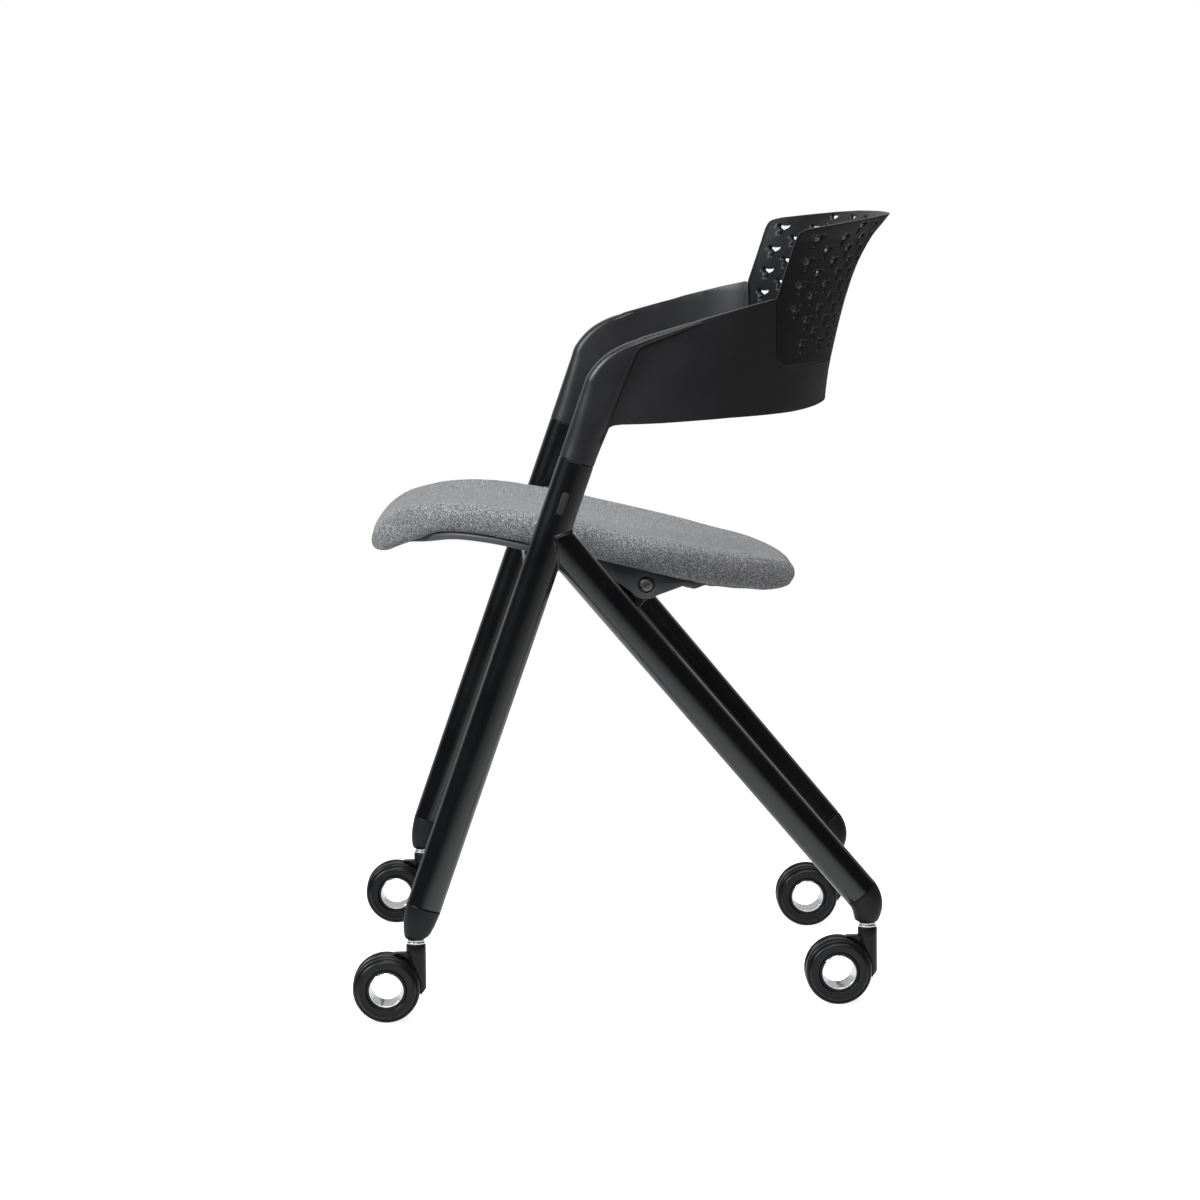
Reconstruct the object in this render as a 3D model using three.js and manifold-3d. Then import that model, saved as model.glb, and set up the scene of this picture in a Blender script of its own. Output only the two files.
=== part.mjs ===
// Nesting chair with a flip-up seat, open-hub casters and a perforated wrap-round back.
// Millimetres, +Z up. The sitter faces -Y and +X is the sitter's left hand.
// The origin is on the floor under the middle of the chair.

import * as THREE from "three";
import Module from "manifold-3d";
import { mergeVertices } from "three/addons/utils/BufferGeometryUtils.js";

const wasm = await Module();
wasm.setup();

// Fits that all pieces share
const fitGap = 0.3; // gap where two pieces meet
const cutOverrun = 2; // how far a cutting body runs past the face it cuts

// Leg tubes
const legDiameter = 34;
const legWall = 2;
const frontStanceHalf = 281; // X of a front leg's axis
const armJointY = -51; // top end of a front leg's axis
const armJointZ = 535.8;
const frontFootY = -202.1; // bottom end of a front leg's axis
const frontFootZ = 110;
const branchDrop = 69.6; // below the arm joint, where a rear leg's axis leaves the front leg's axis
const branchZ = armJointZ - branchDrop;
const rearLegLean = 56; // how far a rear leg leans inwards
const rearFootX = frontStanceHalf - rearLegLean; // bottom end of a rear leg's axis
const rearFootY = 221.8;
const rearFootZ = 108.7;

// Bars between the legs
const frontBarDiameter = 25;
const frontBarClearance = 2.3; // between this bar and the seat pan, when the seat is down
const rearBarDiameter = 28;
const rearBarDrop = 19.1; // below the seat pivot
const barWall = 2;

// Leg end caps
const capPlugLength = 26;
const capBottomZ = 79;
const capBottomDiameter = 21;
const capEdge = 1.5; // chamfer round the bottom
const capBellyShares = [0.5, 0.8]; // places of the belly rings, from the seam to the bottom
const frontBellyRoomShares = [0.25, 0.5]; // how far those rings have moved to the stem
const bellySizeShares = [0.74, 0.4]; // what is left of the step from leg to bottom radius

// Casters
const wheelDiameter = 65;
const wheelWidth = 16;
const wheelBoreDiameter = 39;
const casterWidth = 40; // over both wheels
const casterTrail = 28.8; // from the stem to the wheel axis
const frontStemY = -210.4;
const rearStemInset = 2; // the rear legs' lean carries their stems in by this much more
const rearStemX = rearFootX - rearStemInset;
const rearStemY = 228.2;
const stemDiameter = 11;
const stemReach = 22; // how far the stem stands in the cap
const columnDiameter = 19;
const columnTopZ = 74;
const columnDepth = 12; // how far the stem stands in the housing
const housingFootZ = 31; // the outer face ends here in a chamfer
const housingChamfer = 6.5;
const housingShoulderZ = 66.5;
const housingWeb = 6; // plate between the two wheels
const housingWebTop = 12; // where the upright column takes the web
const discDiameter = 54.6; // plate between the wheels, round the hub
const wheelRoom = 0.9; // running room round the wheels
const barrelOuterDiameter = 38;
const barrelInnerDiameter = 35.6;
const ringOuterDiameter = 35;
const ringInnerDiameter = 32.2;
const ringSetBack = 1.6; // the bright ring ends this far inside the wheel faces
const flangeDiameter = 16;
const washerDiameter = 17.5;
const washerThickness = 1.8;
// Wheel section: [share of the width from the inner face, share of the rim depth]
const wheelShares = [[0, 0], [0, 0.86], [0.25, 1], [0.65, 1], [0.92, 0.8], [1, 0.45], [1, 0]];

// Arm bow and back
const shellStandOut = 11; // from a front leg's axis to the arm's outer face
const shellHalfWidth = frontStanceHalf + shellStandOut;
const shellPower = 2.3; // squareness of the plan curve
const bandRearY = 202.3; // outer face behind the sitter, at the band's lower edge
const backFlare = 69.2; // how much further back the rim leans
const bandRise = 33.2; // above the arm joint
const bandBottomZ = armJointZ + bandRise;
const backHeight = 194; // from the band's lower edge to the rim
const rimZ = bandBottomZ + backHeight;
const rimFrontDrop = 12; // the rim is this much lower at its front corners
const rimFrontY = 164.5;
const rimCornerRadius = 8;
// Lean of the back: [share of the height above the band's lower edge, share of the flare]
const leanShares = [[0, 0], [0.27, 0.12], [0.55, 0.315], [0.8, 0.59], [1, 1]];
const seamY = 143; // the panel starts here at the sides
const armRearHeight = 117.5; // from the band's lower edge to the arm's top at the seam
const seamSideZ = bandBottomZ + armRearHeight;
const bandHeight = 51; // of the band behind the sitter
const seamBottomZ = bandBottomZ + bandHeight;
const seamRadius = 13;
const panelWall = 5;
const bandWall = 7;
const armWall = 25; // arm thickness above the leg
const armThinY = 135; // the arm has thinned to the band's wall here
// Places on the arm in the side view, from the arm joint: [distance behind it, height over it]
const armTopReach = [64.5, 116.2]; // the arm's straight top edge starts here
const armBendReach = [11, 81.2]; // the front edge leaves the leg's line
const bendCornerReach = [23, 106.2]; // corner that the bend rounds off
const lipFrontReach = [47, 104.2]; // lip under the arm's top edge, at the post
const lipRearReach = [116, 128.2]; // the lip fades out
const bandFrontReach = 32; // inner corner under the arm
const postReach = 140; // the post runs this far on along the leg's line
const lipProud = 5.5; // at the post
const lipFade = 0.3; // at its rear end
const lipDepth = 7; // how far the lip is sunk into the arm
const bandFrontY = armJointY + bandFrontReach;
const bandFrontRise = 2; // the band's lower edge over the shell's lower edge at the front
const bandMiddleRise = 6;
const bandRearRise = 10;
const bandMiddleY = 120;
const spigotLength = 40;

// Perforation of the back panel
const holePitchX = 20;
const holePitchZ = 22.6;
const lowestHoleRise = 20; // above the band
const lowestHoleZ = seamBottomZ + lowestHoleRise;
const holeArm = 5.6; // from the middle of a hole to the middle of a lobe
const holeLobe = 2.5; // half width of a lobe
const holeColumns = 11; // columns on each side of the middle one
const holeRows = 6;
const holeRimRoom = 7;
const holeSeamRoom = 24;

// Seat
const seatLength = 428;
const seatPivotShare = 0.638; // of its length, from the front edge to the pivot
const seatCrestZ = 485.5; // line that the heights of the seat are counted from
const seatDrop = 85; // from that line down to the rear lip
const seatSideRoom = 77; // from the cushion's side to a front leg's axis
const seatHalfWidth = frontStanceHalf - seatSideRoom;
const seatDish = 6; // how deep the middle lies below the edge rolls
const boardThickness = 6;
const boardWidthShare = 0.84;
const boardEndShares = [0.11, 0.94];
const panThickness = 7;
const panRearThickness = 4;
const panFrontShare = 0.085;
const panRearShare = 0.94;
const earInset = 30; // from the cushion's side to the ear
const earOuterX = seatHalfWidth - earInset;
const earThickness = 7;
const panTaperLength = 95; // behind the ears
const panNeckLength = 70; // before the ears, where the pan narrows to them
const panShoulderLength = 20; // behind the ears, where it narrows to its rear
const panRiseShare = 0.45; // the part of its taper after which the pan rises into the cushion
// Seat sections: [share of the length from the front, share of the drop below the crest]
const crestShares = [
  [0, 0.548], [0.016, 0.362], [0.047, 0.174], [0.082, 0.064], [0.114, 0.017], [0.179, -0.021],
  [0.242, -0.018], [0.308, 0.012], [0.382, 0.079], [0.469, 0.168], [0.548, 0.265], [0.646, 0.38],
  [0.753, 0.502], [0.832, 0.597], [0.895, 0.66], [0.939, 0.728], [0.967, 0.783], [0.986, 0.832],
  [1, 0.905],
];
const undersideShares = [
  [0, 0.58], [0.016, 0.628], [0.03, 0.632], [0.07, 0.535], [0.117, 0.424], [0.149, 0.356],
  [0.203, 0.317], [0.282, 0.35], [0.361, 0.424], [0.45, 0.51], [0.513, 0.592], [0.644, 0.763],
  [0.744, 0.902], [0.81, 0.972], [0.91, 1.076], [0.95, 1.096], [0.98, 1.09], [1, 1.031],
];
// Plan of the cushion: [share of the length, share of the half width]
const widthShares = [
  [0, 0.17], [0.016, 0.278], [0.047, 0.354], [0.082, 0.474], [0.114, 0.598], [0.179, 0.81],
  [0.242, 0.905], [0.35, 0.964], [0.5, 0.997], [0.62, 1], [0.7, 0.951], [0.8, 0.82], [0.87, 0.687],
  [0.92, 0.591], [0.955, 0.51], [0.98, 0.4], [1, 0.2],
];
const seatStationShares = [
  0.002, 0.012, 0.03, 0.055, 0.085, 0.12, 0.16, 0.2, 0.25, 0.31, 0.38, 0.45, 0.52, 0.6, 0.68, 0.76,
  0.83, 0.89, 0.935, 0.968, 0.988, 0.998,
];
// Half of a cushion section: [share of the half width, share of the height, share of the dish]
const sectionShares = [
  [0, 1, 1], [0.35, 1, 0.85], [0.66, 1, 0.35], [0.86, 1, 0], [0.955, 0.93, 0], [0.99, 0.72, 0],
  [1, 0.42, 0], [0.985, 0.12, 0], [0.94, 0, 0], [0.5, 0, 0], [0, 0, 0],
];

// Seat pivot
const pivotY = 18.1;
const pivotDrop = 14.7; // below the underside of the cushion
const pivotBoltDiameter = 8;
const boltHeadDiameter = 14;
const boltHeadHeight = 4;
const boltRecessDiameter = 16.6;
const boltRecessDepth = 3.4;
const boltSocketDiameter = 5.8;
const boltSocketDepth = 2;
const bushDiameter = 12;
const bushFlangeDiameter = 20;
const bushFlangeThickness = 1.2;
const tabThickness = 5;
const tabEyeDiameter = 22;
const tabCollarDiameter = 36;
const tabRoom = 3; // room in the pan round the tab's eye
const nutAcross = 14;
const nutThickness = 6;
const earRadius = 14;
const earFrontReach = 52; // where the ear's front edge meets the underside, from the pivot
const earRearReach = 46;

// Small pieces
const bumperWidth = 26;
const bumperDepth = 20;
const bumperX = 130;
const bumperClasp = 6.25; // its lower edge lies this far above the bar's axis
const nestPadLength = 22;
const nestPadWidth = 7;
const nestPadProud = 1.6;
const nestPadDrop = 38.8; // below the arm joint
const armScrewDiameter = 6;
const armScrewSetIn = 0.5; // its end lies this deep in the leg's wall
const armScrewSocketDiameter = 3.4;
const armScrewSocketDepth = 3;
const armScrewReach = 12;
const armScrewDrop = 20; // below the arm joint, along the leg
const seatScrewDiameter = 5;
const seatScrewHeadDiameter = 11;
const seatScrewHeadHeight = 3;
const seatScrewX = 82;
const seatScrewShares = [0.24, 0.8]; // of the seat's length, from the front

// Shapes that are shares of the size they belong to
const roundShare = 0.9; // an axis this close to X has its rings started from +Z
const weldShare = 0.001; // of the fit gap
const screwCrownShare = 0.6; // flat top of a screw head
const screwRimShare = 0.4; // height of a screw head where its crown ends
const boltRimShare = 0.5;
const boltCrownShare = 0.62;
const holeValleyShare = 1.2; // of the lobe, in the corners between the lobes
const dishPower = 0.7; // how fast the dish fades in from the seat's ends
const panWidthShare = 0.94; // of the cushion's width
const panRearWidthShare = 0.6; // behind the ears
// Lower edge of the ear: [share of its radius behind the pivot, share of it above the pivot]
const earFrontShares = [-1, -0.6];
const earFrontCornerShares = [-0.8, -1];
const earRearCornerShares = [0.4, -1];
const earRearShares = [0.7, -0.8];

// Facet counts
const tubeSides = 16;
const wheelSides = 20;
const smallSides = 12;
const boreSides = 24;
const hexSides = 6;
const curveSteps = 6; // in each rounded corner of a side outline
const halvings = 40; // when a place is searched for
const cornerSteps = 6; // of the shell, from the last column of holes to the arm

const vec = (x, y, z) => new THREE.Vector3(x, y, z);
const towardsX = vec(1, 0, 0);
const upwards = vec(0, 0, 1);
const mix = THREE.MathUtils.lerp;
const legRadius = legDiameter / 2;

// Welds a geometry's corners together and drops slivers that have lost their area.
function weld(geometry) {
  const bare = geometry.clone();
  bare.deleteAttribute("normal");
  bare.deleteAttribute("uv");
  const welded = mergeVertices(bare, weldShare * fitGap);
  const index = welded.index.array;
  const kept = [];
  for (let i = 0; i < index.length; i += 3) {
    const [a, b, c] = [index[i], index[i + 1], index[i + 2]];
    if (a !== b && b !== c && c !== a) kept.push(a, b, c);
  }
  welded.setIndex(kept);
  return welded;
}

// Signed volume of a closed geometry, negative where its faces point inwards.
function signedVolume(geometry) {
  const place = geometry.attributes.position;
  const index = geometry.index.array;
  const corner = [vec(0, 0, 0), vec(0, 0, 0), vec(0, 0, 0)];
  let sum = 0;
  for (let i = 0; i < index.length; i += 3) {
    corner.forEach((point, k) => point.fromBufferAttribute(place, index[i + k]));
    sum += corner[0].dot(corner[1].cross(corner[2]));
  }
  return sum;
}

// Turns a geometry's faces outwards.
function facingOut(geometry) {
  if (signedVolume(geometry) > 0) return geometry;
  const index = Array.from(geometry.index.array);
  for (let i = 0; i < index.length; i += 3) [index[i], index[i + 1]] = [index[i + 1], index[i]];
  geometry.setIndex(index);
  return geometry;
}

const toSolid = (geometry) => {
  const welded = weld(geometry);
  return new wasm.Manifold(new wasm.Mesh({
    numProp: 3,
    vertProperties: new Float32Array(welded.attributes.position.array),
    triVerts: new Uint32Array(welded.index.array),
  }));
};

const toGeometry = (solid) => {
  const cut = solid.getMesh();
  const geometry = new THREE.BufferGeometry();
  geometry.setAttribute("position", new THREE.BufferAttribute(new Float32Array(cut.vertProperties), 3));
  geometry.setIndex(new THREE.BufferAttribute(new Uint32Array(cut.triVerts), 1));
  return geometry;
};

const minus = (body, ...cutters) => {
  const left = cutters.reduce((rest, cutter) => rest.subtract(toSolid(cutter)), toSolid(body));
  return toGeometry(left);
};
const plus = (body, ...others) => {
  const whole = others.reduce((sum, other) => sum.add(toSolid(other)), toSolid(body));
  return toGeometry(whole);
};
const common = (a, b) => toGeometry(toSolid(a).intersect(toSolid(b)));

// Closed skin over a row of rings that all have the same even number of points.
function loft(rings) {
  const count = rings[0].length;
  const places = rings.flat().flatMap((point) => [point.x, point.y, point.z]);
  const faces = [];
  for (let r = 0; r + 1 < rings.length; r += 1) {
    for (let i = 0; i < count; i += 1) {
      const a = r * count + i;
      const b = r * count + ((i + 1) % count);
      faces.push(a, b, b + count, a, b + count, a + count);
    }
  }
  const ladder = (start, flipped) => {
    for (let i = 0; i + 1 < count / 2; i += 1) {
      const quad = [start + i, start + i + 1, start + count - 2 - i, start + count - 1 - i];
      if (flipped) quad.reverse();
      faces.push(quad[0], quad[3], quad[2], quad[0], quad[2], quad[1]);
    }
  };
  ladder(0, false);
  ladder((rings.length - 1) * count, true);
  const geometry = new THREE.BufferGeometry();
  geometry.setAttribute("position", new THREE.Float32BufferAttribute(places, 3));
  geometry.setIndex(faces);
  return facingOut(weld(geometry));
}

// Ring of points round an axis, started on the side that faces +X, or +Z where the axis runs along X.
function ringAt(middle, axis, radius, sides = tubeSides) {
  const along = axis.clone().normalize();
  const start = Math.abs(along.x) > roundShare ? vec(0, 0, 1) : vec(1, 0, 0);
  const across = start.addScaledVector(along, -along.dot(start)).normalize();
  const third = along.clone().cross(across);
  return Array.from({ length: sides }, (_, i) => {
    const angle = ((i + 0.5) * 2 * Math.PI) / sides;
    return middle.clone()
      .addScaledVector(across, radius * Math.cos(angle))
      .addScaledVector(third, radius * Math.sin(angle));
  });
}

const rod = (from, to, radius, sides = tubeSides) => {
  const axis = to.clone().sub(from);
  return loft([ringAt(from, axis, radius, sides), ringAt(to, axis, radius, sides)]);
};

// Turned body round an axis through a point: section points are [along, radius].
function turned(origin, axis, section, sides) {
  const closed = [...section, section[0]];
  const profile = closed.map(([along, radius]) => new THREE.Vector2(radius, along));
  const body = weld(new THREE.LatheGeometry(profile, sides));
  const turn = new THREE.Quaternion().setFromUnitVectors(vec(0, 1, 0), axis.clone().normalize());
  body.applyQuaternion(turn);
  body.translate(origin.x, origin.y, origin.z);
  return facingOut(body);
}

const pipe = (from, to, radius, wall, sides = tubeSides) => {
  const axis = to.clone().sub(from);
  const outer = rod(from, to, radius, sides);
  const over = axis.clone().setLength(cutOverrun);
  return minus(outer, rod(from.clone().sub(over), to.clone().add(over), radius - wall, sides));
};

// Prism along X over an outline drawn in the side view, where a point is [y, z].
function sidePrism(outline, fromX, toX) {
  const drawn = outline instanceof THREE.Shape;
  const shape = drawn ? outline : new THREE.Shape(outline.map(([y, z]) => new THREE.Vector2(y, z)));
  const settings = { depth: toX - fromX, bevelEnabled: false, curveSegments: curveSteps };
  const prism = new THREE.ExtrudeGeometry(shape, settings);
  const turn = new THREE.Matrix4().makeBasis(vec(0, 1, 0), vec(0, 0, 1), vec(1, 0, 0));
  prism.applyMatrix4(turn);
  prism.translate(fromX, 0, 0);
  return facingOut(weld(prism));
}

const mirrored = (geometry) => facingOut(geometry.clone().scale(-1, 1, 1));

// Value at x on a line through a table of [x, value] points, softened between them.
function along(table, x) {
  const last = table.length - 1;
  if (x <= table[0][0]) return table[0][1];
  if (x >= table[last][0]) return table[last][1];
  const i = table.findIndex(([place]) => place > x) - 1;
  const slope = (k) => {
    const before = table[Math.max(k - 1, 0)];
    const after = table[Math.min(k + 1, last)];
    return (after[1] - before[1]) / (after[0] - before[0]);
  };
  const [x0, y0] = table[i];
  const [x1, y1] = table[i + 1];
  const t = (x - x0) / (x1 - x0);
  const step = x1 - x0;
  const rise = t * t * (3 - 2 * t);
  return mix(y0, y1, rise) + step * (t * (1 - t) * ((1 - t) * slope(i) - t * slope(i + 1)));
}

// Seat curves
const seatYAt = (share) => pivotY + (share - seatPivotShare) * seatLength;
const shareAtY = (y) => seatPivotShare + (y - pivotY) / seatLength;
const crestZ = (y) => seatCrestZ - seatDrop * along(crestShares, shareAtY(y));
const stationYs = seatStationShares.map(seatYAt);
const undersidePoints = stationYs.map(
  (y) => [y, seatCrestZ - seatDrop * along(undersideShares, shareAtY(y))],
);

// The underside is straight between the cushion's sections, and so is all that lies against it.
function undersideZ(y) {
  const after = undersidePoints.findIndex(([place]) => place > y);
  const k = after < 0 ? undersidePoints.length - 2 : Math.max(after - 1, 0);
  const [y0, z0] = undersidePoints[k];
  const [y1, z1] = undersidePoints[k + 1];
  return mix(z0, z1, (y - y0) / (y1 - y0));
}
const halfWidthAt = (y) => seatHalfWidth * along(widthShares, shareAtY(y));

// How far the pan has thinned and narrowed behind the ears, from 0 to 1
const panBackAt = (y) => Math.min(Math.max((y - pivotY - earRearReach) / panTaperLength, 0), 1);
const panThicknessAt = (y) => mix(panThickness, panRearThickness, panBackAt(y));
const panRiseAt = (y) => Math.max((panBackAt(y) - panRiseShare) / (1 - panRiseShare), 0);
const boardBottom = (y) => undersideZ(y) + panRiseAt(y) * (panRearThickness + fitGap);
const panTop = (y) => boardBottom(y) - fitGap;
const panBottomZ = (y) => panTop(y) - panThicknessAt(y);

// Places on the leg axes of the +X side
const frontFoot = vec(frontStanceHalf, frontFootY, frontFootZ);
const armJoint = vec(frontStanceHalf, armJointY, armJointZ);
const frontLegAt = (z) => frontFoot.clone().lerp(armJoint, (z - frontFootZ) / (armJointZ - frontFootZ));
const branch = frontLegAt(branchZ);
const rearFoot = vec(rearFootX, rearFootY, rearFootZ);
const rearLegAt = (z) => branch.clone().lerp(rearFoot, (branchZ - z) / (branchZ - rearFootZ));
const acrossTo = (point) => vec(-point.x, point.y, point.z);
const pivotZ = undersideZ(pivotY) - pivotDrop;
const legUp = armJoint.clone().sub(frontFoot).normalize();
const pivot = vec(0, pivotY, pivotZ);

// The front bar sits as high between the front legs as the seat pan over it allows.
function heightUnderPan(radius) {
  let [low, high] = [frontFootZ, armJointZ];
  for (let step = 0; step < halvings; step += 1) {
    const middle = (low + high) / 2;
    const clear = middle + radius + frontBarClearance < panBottomZ(frontLegAt(middle).y);
    [low, high] = clear ? [middle, high] : [low, middle];
  }
  return low;
}
const frontBarEnd = frontLegAt(heightUnderPan(frontBarDiameter / 2));
const rearBarEnd = rearLegAt(pivotZ - rearBarDrop);

const frontLegRoom = rod(frontFoot, armJoint, legRadius + fitGap);
const rearLegRoom = rod(branch, rearFoot, legRadius + fitGap);
const frontBarRoom = rod(frontBarEnd, acrossTo(frontBarEnd), frontBarDiameter / 2 + fitGap);
const rearBarRoom = rod(rearBarEnd, acrossTo(rearBarEnd), rearBarDiameter / 2 + fitGap);

// Headless arm screw, from inside the leg through its wall into the arm's spigot
const armScrewSeat = armJoint.clone().addScaledVector(legUp, -armScrewDrop);
const armScrewRoom = rod(
  armScrewSeat.clone().setX(frontStanceHalf - legRadius - cutOverrun),
  armScrewSeat.clone().setX(frontStanceHalf - legRadius + armScrewReach + fitGap),
  armScrewDiameter / 2 + fitGap,
  smallSides,
);

const frontLeg = minus(pipe(frontFoot, armJoint, legRadius, legWall), armScrewRoom);
const rearLeg = minus(pipe(branch, rearFoot, legRadius, legWall), frontLegRoom);

// Domed-head screw from its seat into the wood or plastic
function screw(seat, inwards, diameter, headDiameter, headHeight, reach) {
  const radius = diameter / 2;
  const head = headDiameter / 2;
  return turned(seat, inwards, [
    [-headHeight, 0],
    [-headHeight, head * screwCrownShare],
    [-headHeight * screwRimShare, head],
    [0, head],
    [0, radius],
    [reach, radius],
    [reach, 0],
  ], smallSides);
}

function armScrew() {
  const at = (depth) => armScrewSeat.clone().setX(frontStanceHalf - legRadius + depth);
  const body = rod(at(armScrewSetIn), at(armScrewReach), armScrewDiameter / 2, smallSides);
  const socketEnd = at(armScrewSetIn + armScrewSocketDepth);
  return minus(body, rod(at(-cutOverrun), socketEnd, armScrewSocketDiameter / 2, hexSides));
}

function crossBar(end, diameter, legRoom) {
  const bar = pipe(end, acrossTo(end), diameter / 2, barWall);
  return minus(bar, legRoom, mirrored(legRoom));
}

// Cap that turns the slanted tube end into an upright socket for the caster stem
function legCap(foot, up, stem) {
  const plugRadius = legRadius - legWall - fitGap;
  const seam = foot.clone().addScaledVector(up, -fitGap);
  const bottom = vec(stem.x, stem.y, capBottomZ);
  const endRadius = capBottomDiameter / 2;
  const rings = [
    ringAt(foot.clone().addScaledVector(up, capPlugLength), up, plugRadius),
    ringAt(seam, up, plugRadius),
    ringAt(seam, up, legRadius),
  ];
  capBellyShares.forEach((share, k) => {
    const middle = seam.clone().lerp(bottom, share);
    const straight = seam.clone().addScaledVector(up, -(seam.z - middle.z) / up.z);
    middle.lerp(vec(straight.x, straight.y, middle.z), (1 - frontBellyRoomShares[k]) * (1 - share));
    const lean = up.clone().lerp(upwards, share).normalize();
    rings.push(ringAt(middle, lean, mix(endRadius, legRadius, bellySizeShares[k])));
  });
  rings.push(ringAt(vec(bottom.x, bottom.y, capBottomZ + capEdge), upwards, endRadius));
  rings.push(ringAt(bottom, upwards, endRadius - capEdge));
  const socketTop = vec(bottom.x, bottom.y, capBottomZ + stemReach + fitGap);
  const socketFrom = bottom.clone().setZ(capBottomZ - cutOverrun);
  const socket = rod(socketFrom, socketTop, stemDiameter / 2 + fitGap, smallSides);
  return minus(loft(rings), socket);
}

// Caster pieces, made round their stem at X = 0, Y = 0 with the wheels towards -Y
const wheelRadius = wheelDiameter / 2;
const hub = vec(0, -casterTrail, wheelRadius);
const flat = 1 / Math.cos(Math.PI / wheelSides);

function casterWheel() {
  const rimDepth = (wheelDiameter - wheelBoreDiameter) / 2;
  const inner = casterWidth / 2 - wheelWidth;
  const section = wheelShares.map(([along_, deep]) => [
    inner + along_ * wheelWidth,
    (wheelBoreDiameter / 2 + deep * rimDepth) * flat,
  ]);
  const turn = new THREE.Matrix4().makeRotationX(Math.PI / wheelSides);
  const body = turned(vec(0, 0, 0), towardsX, section, wheelSides);
  const place = body.attributes.position;
  const start = Math.atan2(place.getZ(0), place.getY(0));
  body.applyMatrix4(new THREE.Matrix4().makeRotationX(-start));
  body.applyMatrix4(turn);
  body.applyMatrix4(new THREE.Matrix4().makeRotationX(Math.PI / 2));
  return body.translate(hub.x, hub.y, hub.z);
}

function casterHousing() {
  const columnRadius = columnDiameter / 2;
  const web = housingWeb / 2;
  const barrelEnd = casterWidth / 2 - ringSetBack - fitGap;
  const column = rod(vec(0, 0, housingFootZ), vec(0, 0, columnTopZ), columnRadius, smallSides);
  const outline = [
    [hub.y + columnRadius, housingShoulderZ - wheelRoom],
    [0, housingShoulderZ],
    [columnRadius, housingShoulderZ],
    [columnRadius, housingFootZ],
    [columnRadius - housingChamfer, housingFootZ - housingChamfer],
    [-columnRadius, housingFootZ - housingChamfer],
    [hub.y, hub.z],
  ];
  const flank = sidePrism(outline, -columnRadius, columnRadius);
  const roomRadius = wheelRadius + wheelRoom;
  const roomAt = (from, to) => rod(vec(from, hub.y, hub.z), vec(to, hub.y, hub.z), roomRadius, wheelSides);
  const rounded = common(flank, plus(
    rod(vec(0, 0, 0), vec(0, 0, columnTopZ), columnRadius, smallSides),
    sidePrism(outline, -housingWebTop / 2, housingWebTop / 2),
  ));
  const shell = minus(plus(column, rounded), roomAt(web, casterWidth), roomAt(-casterWidth, -web));
  const round = (half, diameter) => {
    const end = hub.clone().setX(half);
    return rod(acrossTo(end), end, diameter / 2, wheelSides);
  };
  const disc = round(web, discDiameter);
  const barrel = round(barrelEnd, barrelOuterDiameter);
  const bore = round(casterWidth, barrelInnerDiameter);
  const socketFrom = vec(0, 0, columnTopZ - columnDepth - fitGap);
  const socket = rod(socketFrom, vec(0, 0, columnTopZ + cutOverrun), stemDiameter / 2 + fitGap, smallSides);
  return minus(plus(shell, disc, barrel), bore, socket);
}

function hubRing() {
  const half = casterWidth / 2 - ringSetBack;
  const outer = ringOuterDiameter / 2;
  const inner = ringInnerDiameter / 2;
  return turned(hub, towardsX, [[-half, inner], [half, inner], [half, outer], [-half, outer]], wheelSides);
}

const flangeBottomZ = columnTopZ + 2 * fitGap + washerThickness;

function casterStem() {
  const radius = stemDiameter / 2;
  const flangeTop = capBottomZ - fitGap;
  return turned(vec(0, 0, 0), upwards, [
    [columnTopZ - columnDepth, 0],
    [columnTopZ - columnDepth, radius],
    [flangeBottomZ, radius],
    [flangeBottomZ, flangeDiameter / 2],
    [flangeTop, flangeDiameter / 2],
    [flangeTop, radius],
    [capBottomZ + stemReach, radius],
    [capBottomZ + stemReach, 0],
  ], smallSides);
}

function stemWasher() {
  const low = columnTopZ + fitGap;
  const inner = stemDiameter / 2 + fitGap;
  const outer = washerDiameter / 2;
  const high = low + washerThickness;
  const section = [[low, inner], [low, outer], [high, outer], [high, inner]];
  return turned(vec(0, 0, 0), upwards, section, smallSides);
}

// Outer surface of the arm bow and back: depth behind the arms at a height
const leanAt = (z) => bandRearY + backFlare * along(leanShares, (z - bandBottomZ) / (rimZ - bandBottomZ));

// Wall section of the shell in plan at one place round the bow
function shellPoint(angle, z, inset) {
  const side = Math.sign(Math.sin(angle));
  const power = 2 / shellPower;
  const x = side * (shellHalfWidth - inset) * Math.abs(Math.sin(angle)) ** power;
  const y = (leanAt(z) - inset) * Math.abs(Math.cos(angle)) ** power;
  return vec(x, y, z);
}

// Plan angles of the shell's facets: their edges run midway between the columns of holes.
const angleAtX = (x) => Math.asin((x / shellHalfWidth) ** (shellPower / 2));
const columnEdges = Array.from({ length: holeColumns }, (_, i) => angleAtX((i + 0.5) * holePitchX));
const lastEdge = columnEdges[holeColumns - 1];
const cornerEdges = Array.from(
  { length: cornerSteps },
  (_, i) => mix(lastEdge, Math.PI / 2, (i + 1) / cornerSteps),
);
const sideAngles = [...columnEdges, ...cornerEdges];
const shellAngles = [...sideAngles.map((angle) => -angle).reverse(), ...sideAngles];

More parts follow.
